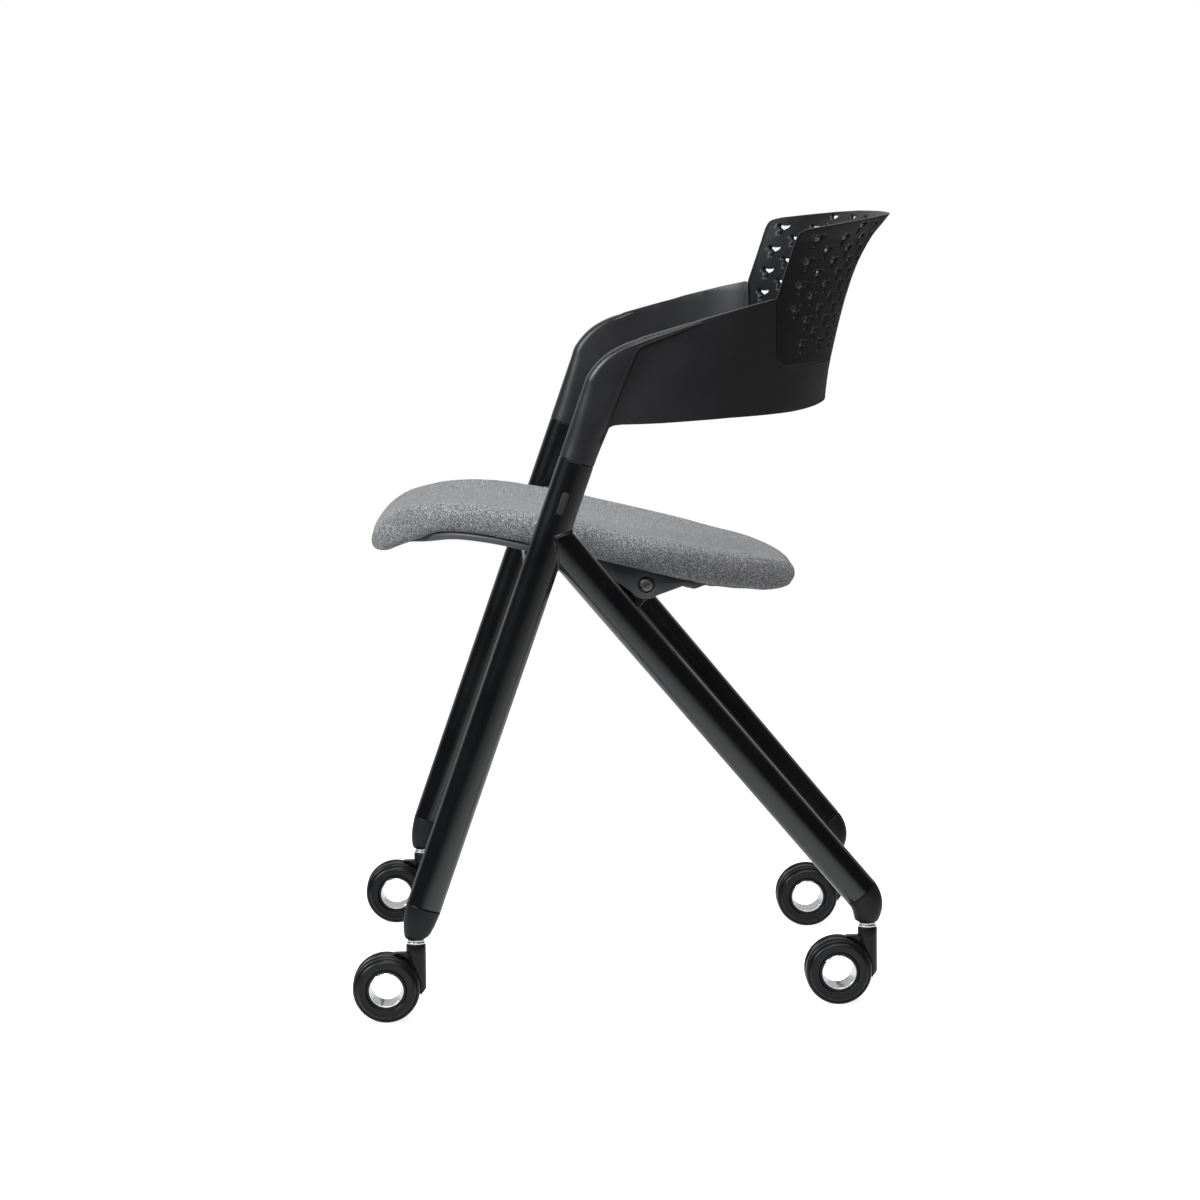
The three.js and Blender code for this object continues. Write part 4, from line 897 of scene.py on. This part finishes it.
def bow_outline():
    """Band and arms laid flat, as (distance round the bow, height), with the recess for the panel."""
    seam = SEAM_Y - 0.3
    start = (SEAM_Y + RECESS, BAND_TOP)
    places = [start, *curve(start, (seam, BAND_TOP), (seam, BAND_TOP + RECESS), 6)]
    places += [(seam, 660), (seam, 684.6), (142.0, 686.0), (139.5, 685.9)]
    places += [(116.2, 680.6), (92, 674.4), (78, 670.8), (66, 667.0), (50, 662.8), (30, 657.4), (13.5, 652.9)]
    places += [(0, 647), (-12, 639), (-20, 620), (-27, 595), (-31, 575), (-33, 560), (-32, 553)]
    places += [(-26.5, 553.5), (-24.6, 558.5), (-23.4, 563.5), (-20.6, 567.8), (-15.6, 570.2), (-8, 571.0)]
    places += [(10, 571.2), (28.4, 571.7), (66.8, 573.4), (96, 574.6), (126, 575.1)]
    foot = [(206, 575.6), (187, 576.2), (160, 577.2), (118, 578.6), (60, 579.6)]
    half = [(60, BAND_TOP), (120, BAND_TOP), (lookup(216, PLAN_X, RUN), BAND_TOP)]
    half += [(run_at_y(y, z), z) for y, z in places]
    return half + [(lookup(x, PLAN_X, RUN), z) for x, z in foot]


def cut_grid(bm, low, high, step, direction):
    """Cuts the mesh across in even steps, so that it can be curved."""
    count = max(int((high - low) / step), 1)
    for i in range(1, count):
        place = low + (high - low) * i / count
        bmesh.ops.bisect_plane(
            bm, geom=[*bm.verts, *bm.edges, *bm.faces], dist=0.0001,
            plane_co=direction * place, plane_no=direction,
        )


def arm_post():
    """Post and lip of the +X arm: a round column that flattens round the bend and runs out along the top."""
    front = Vector((0, -LEG_UP.z, LEG_UP.y))

    def on_leg(run, out):
        return (ARM_JOINT + LEG_UP * run + front * out).yz

    # (front or top point), (rear or under point), outer X, inner X, corner
    stations = [
        (on_leg(0.3, 16.4), on_leg(0.3, -16.4), 297.4, 264.6, 16.4),
        (on_leg(1.0, 17), on_leg(1.0, -17), 298, 264, 17),
        (on_leg(12, 17), on_leg(12, -17.2), 298, 264, 16.6),
        (on_leg(25, 17), on_leg(25, -17.9), 298, 264.2, 15.5),
        (on_leg(45, 17), (-17.8, 572.2), 298, 265, 13),
        (on_leg(68, 17), (-9.9, 593.6), 298, 266, 10.5),
        ((-40, 617), (-4.6, 608), 298, 266.8, 8.5),
        ((-30.3, 629.5), (0.6, 622.0), 298, 267, 7.2),
        ((-19, 639), (5.0, 632.6), 298, 267, 6.2),
        ((-3.5, 647.0), (8.9, 641.2), 297.8, 267, 5),
        ((13.5, 652.3), (14.8, 645.4), 297, 267.2, 3.3),
        ((30, 656.9), (30.6, 651.6), 295.2, 271, 2.5),
        ((45, 661.0), (45.5, 657.2), 292.4, 273.2, 1.8),
        ((58, 664.4), (58.3, 662.0), 288.6, 275, 1.1),
        ((70, 666.9), (70.2, 665.8), 283.4, 277.5, 0.5),
    ]
    rows = [(*top, *under, *rest) for top, under, *rest in stations]
    tables = [[(k, row[column]) for k, row in enumerate(rows)] for column in range(7)]
    parts = 5
    rings = []
    for i in [0, *range(parts, (len(rows) - 1) * parts + 1)]:
        top_y, top_z, under_y, under_z, x_out, x_in, corner = (along(table, i / parts) for table in tables)
        across = Vector((0, top_y - under_y, top_z - under_z))
        up = across.normalized()
        place = Matrix((ACROSS, up, ACROSS.cross(up))).transposed().to_4x4()
        place.translation = ((x_out + x_in) / 2, (top_y + under_y) / 2, (top_z + under_z) / 2)
        corner = min(corner, across.length / 2 - 0.01, (x_out - x_in) / 2 - 0.01)
        rings.append(placed(place, pad_outline(x_out - x_in, across.length, corner, 72)))
    bm = bmesh.new()
    sweep(bm, rings)
    return bm


def arm_bow():
    """Both arms and the band behind the sitter, with their posts."""
    bm = bmesh.new()
    depth, face = 12.0, 2.0
    plate(bm, Matrix(), mirror_outline(bow_outline()), depth, edge=1.9, segments=4)
    reach = max(abs(v.co.x) for v in bm.verts)
    cut_grid(bm, -reach, reach, 7, ACROSS)
    cut_grid(bm, 553, 686, 11, REARWARD)
    for v in bm.verts:
        outer, inward = bow_place(v.co.x, v.co.y)
        # The rounded edges keep their depth, and what is between them takes the wall's thickness
        wall, deep = wall_at(outer.y), v.co.z
        if deep >= depth - face:
            deep += wall - depth
        elif deep > face:
            deep = face + (deep - face) * (wall - 2 * face) / (depth - 2 * face)
        v.co = outer + inward * deep
    for side in (1, -1):
        join(bm, mirrored(arm_post(), side))
    finish("arm_bow_shell", bm, bow_nylon, "frame", ["arm_bow"], crease=30)


# Top edge of the panel, from the middle outwards, in the rear view
RIM = [
    (0, 763), (65, 762.6), (122, 762.0), (162, 760.1), (188, 758), (208, 755.9), (224, 753.8),
    (238, 751.9), (243, 750.8), (250, 749),
]


def panel_outline():
    """The panel in the rear view, its side edges where they meet the arms' seams."""
    low = BAND_TOP + 0.6
    side = [(161.5, 741.5), (157, 728), (152.2, 713.8), (147.5, 700)]
    side += [(SEAM_Y, z) for z in (687, 672, 657, 645, low + RECESS)]
    side += curve((SEAM_Y, low + RECESS), (SEAM_Y, low), (SEAM_Y + RECESS, low), 6)
    half = [(x, z, 0) for x, z in RIM[:7]] + [(241.5, 751.2, 7)]
    half += [(SHELL_X * squared(y / lean(z)), z, 0) for y, z in side]
    half += [(180, low, 0), (90, low, 0), (0, low, 0)]
    return [tuple(point) for point in eased(half)][1:-1]


# Holes: three lobes round a middle, and the pattern's steps across and up
LOBE_OUT, LOBE, VALLEY = 5.6, 2.4, 2.9
HOLE_ACROSS, HOLE_UP, HOLE_FOOT = 20, 22.6, 640


def hole_outline(x, z):
    """One three-lobed hole, a lobe down and two up."""
    points = []
    for lobe in range(3):
        angle = -math.pi / 2 + lobe * 2 * math.pi / 3
        for i in range(9):
            turned = angle + math.radians(-112 + 224 * i / 8)
            points.append((
                x + LOBE_OUT * math.cos(angle) + LOBE * math.cos(turned),
                z + LOBE_OUT * math.sin(angle) + LOBE * math.sin(turned),
            ))
        valley = angle + math.pi / 3
        points.append((x + VALLEY * math.cos(valley), z + VALLEY * math.sin(valley)))
    return points


def hole_places():
    """Middles of the holes: six rows, every second column half a row higher, clear of the panel's edges."""
    places = []
    for column in range(-11, 12):
        for row in range(6):
            x, z = column * HOLE_ACROSS, HOLE_FOOT + (row + column % 2 / 2) * HOLE_UP
            if z + 7 <= along(RIM, abs(x)) and (abs(x) <= 200 or z >= 657):
                places.append((x, z))
    return places


def back_panel():
    """Perforated back: cut flat with its holes, then curved onto the shell."""
    edge = 0.8
    flat = bpy.data.curves.new("back_cut", "CURVE")
    flat.dimensions = "2D"
    flat.fill_mode = "BOTH"
    flat.extrude = PANEL_WALL / 2 - edge
    flat.bevel_depth = edge
    flat.bevel_resolution = 1
    flat.offset = -edge
    for ring in [mirror_outline(panel_outline())] + [hole_outline(x, z) for x, z in hole_places()]:
        spline = flat.splines.new("POLY")
        spline.points.add(len(ring) - 1)
        for point, (a, b) in zip(spline.points, ring):
            point.co = (a, b, 0, 1)
        spline.use_cyclic_u = True
    drawn = bpy.data.objects.new("back_cut", flat)
    bpy.context.collection.objects.link(drawn)
    bpy.context.view_layer.update()
    mesh = bpy.data.meshes.new_from_object(drawn.evaluated_get(bpy.context.evaluated_depsgraph_get()))
    bpy.data.objects.remove(drawn)
    bpy.data.curves.remove(flat)
    bm = bmesh.new()
    bm.from_mesh(mesh)
    bpy.data.meshes.remove(mesh)
    bmesh.ops.remove_doubles(bm, verts=bm.verts, dist=0.0005)
    cut_grid(bm, -262, 262, 6, ACROSS)
    cut_grid(bm, 620, 763, 9, REARWARD)
    for v in bm.verts:
        x, z, deep = v.co.x, v.co.y, PANEL_WALL / 2 - v.co.z
        reach = min(abs(x), SHELL_X - 1)
        y = lean(z) * squared(reach / SHELL_X)
        out = out_of_shell(reach, y, z)
        # The wall is measured rearward over most of the back, and sideways near its ends
        sideways = smooth(224, 240, reach)
        v.co = Vector((
            x - math.copysign(sideways * deep / max(out.x, 0.3), x),
            y - (1 - sideways) * deep / max(out.y, 0.3),
            z,
        ))
    finish("back_panel_shell", bm, back_nylon, "frame", ["back_panel"], crease=38)


arm_bow()
back_panel()


# Seat: places along it are shares of its length from the front, and heights are shares of its drop.
# CREST is the top line at the middle, UNDERSIDE the lower line, and SEAT_PLAN the half width's share.
SEAT_LENGTH = 428.0
SEAT_HALF = 204.0
SEAT_CREST = 485.5
SEAT_DROP = 85.0
SEAT_DISH = 6.0
SEAT_FRONT = PIVOT.y - 0.638 * SEAT_LENGTH
CREST = [
    (0, 0.548), (0.016, 0.362), (0.047, 0.174), (0.082, 0.064), (0.114, 0.017), (0.179, -0.021),
    (0.242, -0.018), (0.308, 0.012), (0.382, 0.079), (0.469, 0.168), (0.548, 0.265), (0.646, 0.38),
    (0.753, 0.502), (0.832, 0.597), (0.895, 0.66), (0.939, 0.728), (0.967, 0.783), (0.986, 0.832),
    (1, 0.905),
]
UNDERSIDE = [
    (0, 0.58), (0.016, 0.628), (0.03, 0.632), (0.07, 0.535), (0.117, 0.424), (0.149, 0.356),
    (0.203, 0.317), (0.282, 0.35), (0.361, 0.424), (0.45, 0.51), (0.513, 0.592), (0.644, 0.763),
    (0.744, 0.902), (0.81, 0.972), (0.91, 1.076), (0.95, 1.096), (0.98, 1.09), (1, 1.031),
]
SEAT_PLAN = [
    (0, 0.17), (0.01, 0.27), (0.03, 0.37), (0.06, 0.47), (0.1, 0.585), (0.15, 0.705), (0.2, 0.795),
    (0.27, 0.88), (0.36, 0.948), (0.46, 0.987), (0.56, 1), (0.64, 0.985), (0.72, 0.937), (0.8, 0.848),
    (0.87, 0.73), (0.92, 0.622), (0.955, 0.515), (0.98, 0.4), (1, 0.2),
]
# Half of a section: (share of the half width, share of the height, share of the dish).
# The cover bags a little below its edge, so that it closes over the board.
SECTION = [
    (0, 1, 1), (0.35, 1, 0.85), (0.66, 1, 0.35), (0.86, 1, 0), (0.955, 0.93, 0), (0.99, 0.72, 0),
    (1, 0.42, 0), (0.985, 0.12, 0), (0.95, 0.01, 0), (0.91, -0.035, 0), (0.5, -0.04, 0), (0, -0.04, 0),
]
SECTION_COLUMNS = [[(k, point[column]) for k, point in enumerate(SECTION)] for column in range(3)]
SECTION_PARTS = 4
PAN_FROM, PAN_TO = 0.085, 0.94


def seat_y(share):
    """Y at a share of the seat's length."""
    return SEAT_FRONT + share * SEAT_LENGTH


def seat_share(y):
    """Share of the seat's length at a Y."""
    return (y - SEAT_FRONT) / SEAT_LENGTH


def underside(y):
    """Height of the cushion's underside."""
    return SEAT_CREST - SEAT_DROP * along(UNDERSIDE, seat_share(y))


def cushion_ring(share, inset):
    """Section of the cushion at a share of its length, drawn this much smaller."""
    y = seat_y(share)
    high = SEAT_CREST - SEAT_DROP * along(CREST, share) - inset
    low = min(underside(y) + inset, high - 0.5)
    half = max(SEAT_HALF * along(SEAT_PLAN, share) - inset, 8)
    dish = SEAT_DISH * math.sin(math.pi * share) ** 0.7
    points = []
    for i in range((len(SECTION) - 1) * SECTION_PARTS + 1):
        wide, tall, deep = (along(column, i / SECTION_PARTS) for column in SECTION_COLUMNS)
        points.append(Vector((wide * half, y, low + (high - low) * tall - deep * dish)))
    return points + [Vector((-p.x, p.y, p.z)) for p in reversed(points[1:-1])]


def cushion_form(inset):
    """Closed loft of the cushion, its sections closer together towards both ends."""
    steps = 110
    ends = inset / SEAT_LENGTH
    shares = [ends + (1 - 2 * ends) * (1 - math.cos(math.pi * i / steps)) / 2 for i in range(steps + 1)]
    bm = bmesh.new()
    sweep(bm, [cushion_ring(min(max(share, 0.001), 0.999), inset) for share in shares])
    bmesh.ops.scale(bm, vec=(MM, MM, MM), verts=bm.verts)
    bmesh.ops.recalc_face_normals(bm, faces=bm.faces)
    mesh = bpy.data.meshes.new("cushion_form")
    bm.to_mesh(mesh)
    bm.free()
    return mesh


def applied(piece):
    """Puts a piece's modifiers into its mesh."""
    bpy.context.view_layer.update()
    shaped = bpy.data.meshes.new_from_object(piece.evaluated_get(bpy.context.evaluated_depsgraph_get()))
    old = piece.data
    piece.modifiers.clear()
    piece.data = shaped
    bpy.data.meshes.remove(old)


# How far the cover stands out from the drawn form once it is drawn tight, in metres, and the height in
# millimetres over which it is held at its underside
SWELL_LEAST, SWELL_MOST = 0.0012, 0.0017
HELD_HEIGHT = 6.0
PRESSURE_STEPS, EVENING_ROUNDS, SMOOTHING_ROUNDS = 20, 14, 5


def seat_cushion():
    """Foam under a cover that air pressure draws tight."""
    mesh = cushion_form(1.4)
    piece = bpy.data.objects.new("seat_cushion_cover", mesh)
    bpy.context.collection.objects.link(piece)
    remesh = piece.modifiers.new("even", "REMESH")
    remesh.mode = "VOXEL"
    remesh.voxel_size = 0.005
    applied(piece)
    swell(piece)
    finer = piece.modifiers.new("finer", "SUBSURF")
    finer.levels = finer.render_levels = 1
    piece.data.shade_smooth()
    piece.data.materials.append(wool)
    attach(piece, "seat")
    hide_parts("seat_cushion")


def swell(piece):
    """Cloth under pressure, held along its underside. Its moves are kept outward, even and small."""
    rest = [v.co.copy() for v in piece.data.vertices]
    outward = [normal.vector.copy() for normal in piece.data.vertex_normals]
    held = piece.vertex_groups.new(name="held")
    for i, (at, way) in enumerate(zip(rest, outward)):
        if at.z / MM - underside(at.y / MM) < HELD_HEIGHT and way.z < -0.6:
            held.add([i], 1.0, "REPLACE")
    cloth = piece.modifiers.new("cover", "CLOTH")
    settings = cloth.settings
    settings.use_pressure = True
    settings.uniform_pressure_force = 4
    settings.effector_weights.gravity = 0
    settings.quality = 5
    settings.mass = 0.3
    settings.tension_stiffness = settings.compression_stiffness = 20
    settings.bending_stiffness = 3
    settings.vertex_group_mass = "held"
    scene = bpy.context.scene
    for step in range(PRESSURE_STEPS):
        scene.frame_set(step + 1)
    applied(piece)
    scene.frame_set(1)
    mesh = piece.data
    moves = []
    for v, at, way in zip(mesh.vertices, rest, outward):
        moves.append(min(max((v.co - at).dot(way), SWELL_LEAST), SWELL_MOST))
    for _ in range(EVENING_ROUNDS):
        total, count = [0.0] * len(moves), [0] * len(moves)
        for edge in mesh.edges:
            a, b = edge.vertices
            total[a] += moves[b]
            total[b] += moves[a]
            count[a] += 1
            count[b] += 1
        moves = [(move + t / c) / 2 for move, t, c in zip(moves, total, count)]
    for v, at, way, move in zip(mesh.vertices, rest, outward, moves):
        v.co = at + way * move
    bm = bmesh.new()
    bm.from_mesh(mesh)
    for _ in range(SMOOTHING_ROUNDS):
        bmesh.ops.smooth_vert(
            bm, verts=bm.verts, factor=0.5, use_axis_x=True, use_axis_y=True, use_axis_z=True,
        )
    bm.to_mesh(mesh)
    bm.free()
    piece.vertex_groups.clear()


def pan_place(y):
    """(half width, top, bottom) of the seat pan. It reaches the ears, and thins rearward."""
    back = min(max((y - EAR_REAR) / 95, 0), 1)
    rise = max((back - 0.45) / 0.55, 0)
    wide = SEAT_HALF * along(SEAT_PLAN, seat_share(y)) * (0.94 - 0.34 * smooth(62, 82, y))
    wide *= 0.72 + 0.28 * smooth(seat_y(PAN_FROM), seat_y(PAN_FROM) + 34, y)
    neck = min(max((EAR_FRONT - y) / 70, 0), 1)
    half = min(EAR_OUT, wide) * (1 - neck) + wide * neck
    top = underside(y) + rise * 4.3 - 0.3
    thick = (7 - 3 * back) * (0.25 + 0.75 * smooth(seat_y(PAN_FROM), seat_y(PAN_FROM) + 27, y))
    return half, top, top - thick


def ear():
    """Ear of the seat pan, with the bolt's recess, its lower edge rounded under the pivot."""
    outline = [(EAR_FRONT, pan_place(EAR_FRONT)[1] - 0.2), (EAR_FRONT, pan_place(EAR_FRONT)[2])]
    edge = [(-14, -8.4), *curve((-14, -8.4), (-11.2, -14), (0, -14), 8)]
    edge += curve((0, -14), (5.6, -14), (9.8, -11.2), 8)
    outline += [(PIVOT.y + y, PIVOT.z + z) for y, z in edge]
    outline += [(y, pan_place(y)[1] - 0.2) for y in (EAR_REAR, 50, 36, 22, 8, -6, -20)]
    rim = [(0, 0.6), (0.6, 0), (5.2, 0), (6.0, 0.3), (6.6, 0.8), (6.9, 1.3), (7, 1.9)]
    bore = [(7, 8.9), (6.8, 8.5), (6.4, 8.3), (3.6, 8.3), (3.6, 6.3), (0, 6.3)]
    bm = bmesh.new()
    holed_plate(bm, side_plane(EAR_IN), outline, PIVOT.yz, rim, bore)
    return bm


def seat_pan():
    """Moulded shell under the cushion, its front and rear edges eased, with its two ears."""
    steps = 84
    rings = []
    for i in range(steps + 1):
        y = seat_y(PAN_FROM + (PAN_TO - PAN_FROM) * i / steps)
        half, top, bottom = pan_place(y)
        inset, share = {0: (1.2, 0.4), 1: (0.4, 0.8)}.get(min(i, steps - i), (0, 1))
        thick = (top - bottom) * share
        outline = pad_outline(2 * (half - inset), thick, min(3, thick / 2 - 0.02), 48)
        rings.append(placed(stand_on(Vector((0, y, (top + bottom) / 2)), -REARWARD), outline))
    bm = bmesh.new()
    sweep(bm, rings)
    for side in (1, -1):
        join(bm, mirrored(ear(), side))
    # The pan's grey base is partly painted reflection of the white floor.
    finish("seat_pan_shell", bm, pan_nylon_painted_reflection, "seat", ["seat_pan"], crease=40)


def rest_bumpers():
    """Rubber rests between the pan and the front bar, hollowed to sit on the bar."""
    bar, reach = middle_of("front_cross_bar"), FRONT_BAR + 0.3
    for hand in ("left", "right"):
        low, high = (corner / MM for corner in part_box(f"rest_bumper_{hand}"))
        front, rear = low.y + 0.1, high.y - 0.1
        outline = [(front, pan_place(front)[2] - 0.4), (rear, pan_place(rear)[2] - 0.4)]
        for i in range(13):
            angle = math.radians(39 + 102 * i / 12)
            outline.append((bar.y + reach * math.cos(angle), bar.z + reach * math.sin(angle)))
        bm = bmesh.new()
        plate(bm, side_plane(low.x), outline, high.x - low.x)
        finish(f"rest_bumper_block_{hand}", bm, black_rubber, "seat", [f"rest_bumper_{hand}"])


def inner_board():
    """The plywood is hidden in the cushion, so it stays the CAD's own."""
    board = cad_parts["seat_board"]
    board.data.materials.clear()
    board.data.materials.append(beech)


seat_cushion()
seat_pan()
rest_bumpers()
inner_board()


# Studio: what the floor shows and gives back near the chair, and what the room gives in light and gloss
FLOOR_GLOW = 0.84
FLOOR_FADE = 4.0
ROOM_TONE = (0.05, 0.05, 0.052, 1)
AMBIENT = (0.25, 0.25, 0.255, 1)
WHITE = (1, 1, 1, 1)


def seen_rays(tree, extra):
    """1 for what the camera sees, straight or through gloss and glass, each of those taken at its share."""
    ray = tree.nodes.new("ShaderNodeLightPath")
    total = ray.outputs["Is Camera Ray"]
    for kind, share in extra:
        total = math_node(tree, "MAXIMUM", total, math_node(tree, "MULTIPLY", ray.outputs[kind], share))
    return total


def floor():
    """White sweep that keeps the soft shadow under the casters. Further off it gives back less light."""
    bm = bmesh.new()
    bmesh.ops.create_grid(bm, x_segments=2, y_segments=2, size=9)
    mesh = bpy.data.meshes.new("studio_floor")
    bm.to_mesh(mesh)
    bm.free()
    piece = bpy.data.objects.new("studio_floor", mesh)
    bpy.context.collection.objects.link(piece)
    look = bpy.data.materials.new("studio_floor")
    look.use_nodes = True
    tree = look.node_tree
    tree.nodes.clear()
    place = tree.nodes.new("ShaderNodeTexCoord")
    length = tree.nodes.new("ShaderNodeVectorMath")
    length.operation = "LENGTH"
    feed(tree, length.inputs[0], place.outputs["Object"])
    away = math_node(tree, "DIVIDE", length.outputs["Value"], FLOOR_FADE)
    paper = tree.nodes.new("ShaderNodeBsdfDiffuse")
    given_back = ramp(tree, away, [(0.1, (0.8,) * 3), (0.3, (0.3,) * 3), (0.75, (0.02,) * 3)])
    feed(tree, paper.inputs["Color"], given_back)
    glow = tree.nodes.new("ShaderNodeEmission")
    level = ramp(tree, away, [(0.1, (FLOOR_GLOW,) * 3), (0.4, (1, 1, 1))])
    seen = seen_rays(tree, [("Is Glossy Ray", 0.05), ("Is Transmission Ray", 1.0)])
    feed(tree, glow.inputs["Strength"], math_node(tree, "MULTIPLY", seen, level))
    both = tree.nodes.new("ShaderNodeAddShader")
    feed(tree, both.inputs[0], paper.outputs[0])
    feed(tree, both.inputs[1], glow.outputs[0])
    out = tree.nodes.new("ShaderNodeOutputMaterial")
    feed(tree, out.inputs["Surface"], both.outputs[0])
    mesh.materials.append(look)


def backdrop():
    """White for the camera and, behind the chair, for gloss. The light that it gives is softer."""
    world = bpy.data.worlds.new("backdrop")
    bpy.context.scene.world = world
    world.use_nodes = True
    tree = world.node_tree
    sky = tree.nodes["Background"]
    way = tree.nodes.new("ShaderNodeTexCoord")
    parts = tree.nodes.new("ShaderNodeSeparateXYZ")
    feed(tree, parts.inputs["Vector"], way.outputs["Generated"])
    behind = map_node(tree, parts.outputs["X"], (-0.35, -0.9), (0.0, 0.45))
    behind.interpolation_type = "SMOOTHSTEP"
    ray = tree.nodes.new("ShaderNodeLightPath")
    room = mix_node(tree, ray.outputs["Is Glossy Ray"], AMBIENT, ROOM_TONE)
    shown = seen_rays(tree, [("Is Glossy Ray", behind.outputs["Result"]), ("Is Transmission Ray", 1.0)])
    feed(tree, sky.inputs["Color"], mix_node(tree, shown, room, WHITE))
    feed(tree, sky.inputs["Strength"], 1.0)


def softbox(name, place, target, width, height, power, tint=(1, 1, 1)):
    """Area light aimed at a place."""
    data = bpy.data.lights.new(name, "AREA")
    data.shape = "RECTANGLE"
    data.size = width
    data.size_y = height
    data.energy = power
    data.color = tint
    lamp = bpy.data.objects.new(name, data)
    away = Vector(place) - Vector(target)
    lamp.matrix_world = stand_on(Vector(place), away, UP.cross(away))
    bpy.context.collection.objects.link(lamp)


def photo_camera():
    """Camera at the photograph's place, fitted to it. Its angles are off a level look along -X."""
    data = bpy.data.cameras.new("photo_camera")
    data.lens = 141.0
    data.sensor_width = 36.0
    camera = bpy.data.objects.new("photo_camera", data)
    swing, dip, roll = (math.radians(angle) for angle in (1.401, 5.923, -0.633))
    ahead = Vector((-math.cos(swing) * math.cos(dip), math.sin(swing) * math.cos(dip), -math.sin(dip)))
    level = ahead.cross(UP).normalized()
    upright = level.cross(ahead)
    right = level * math.cos(roll) + upright * math.sin(roll)
    top = upright * math.cos(roll) - level * math.sin(roll)
    place = Matrix((right, top, -ahead)).transposed().to_4x4()
    place.translation = Vector((4736.6, -139.1, 865.6)) * MM
    camera.matrix_world = place
    bpy.context.collection.objects.link(camera)
    bpy.context.scene.camera = camera


floor()
backdrop()
softbox("key", (1.6, -2.9, 2.6), (0, 0, 0.45), 1.8, 0.9, 145, (0.93, 0.97, 1.0))
softbox("overhead", (0.2, 0.6, 3.2), (0, 0, 0.4), 2.4, 2.4, 75)
softbox("camera_side", (3.1, -0.4, 2.8), (0, 0, 0.4), 1.6, 1.0, 55)
photo_camera()
bpy.context.scene.view_settings.view_transform = "Standard"
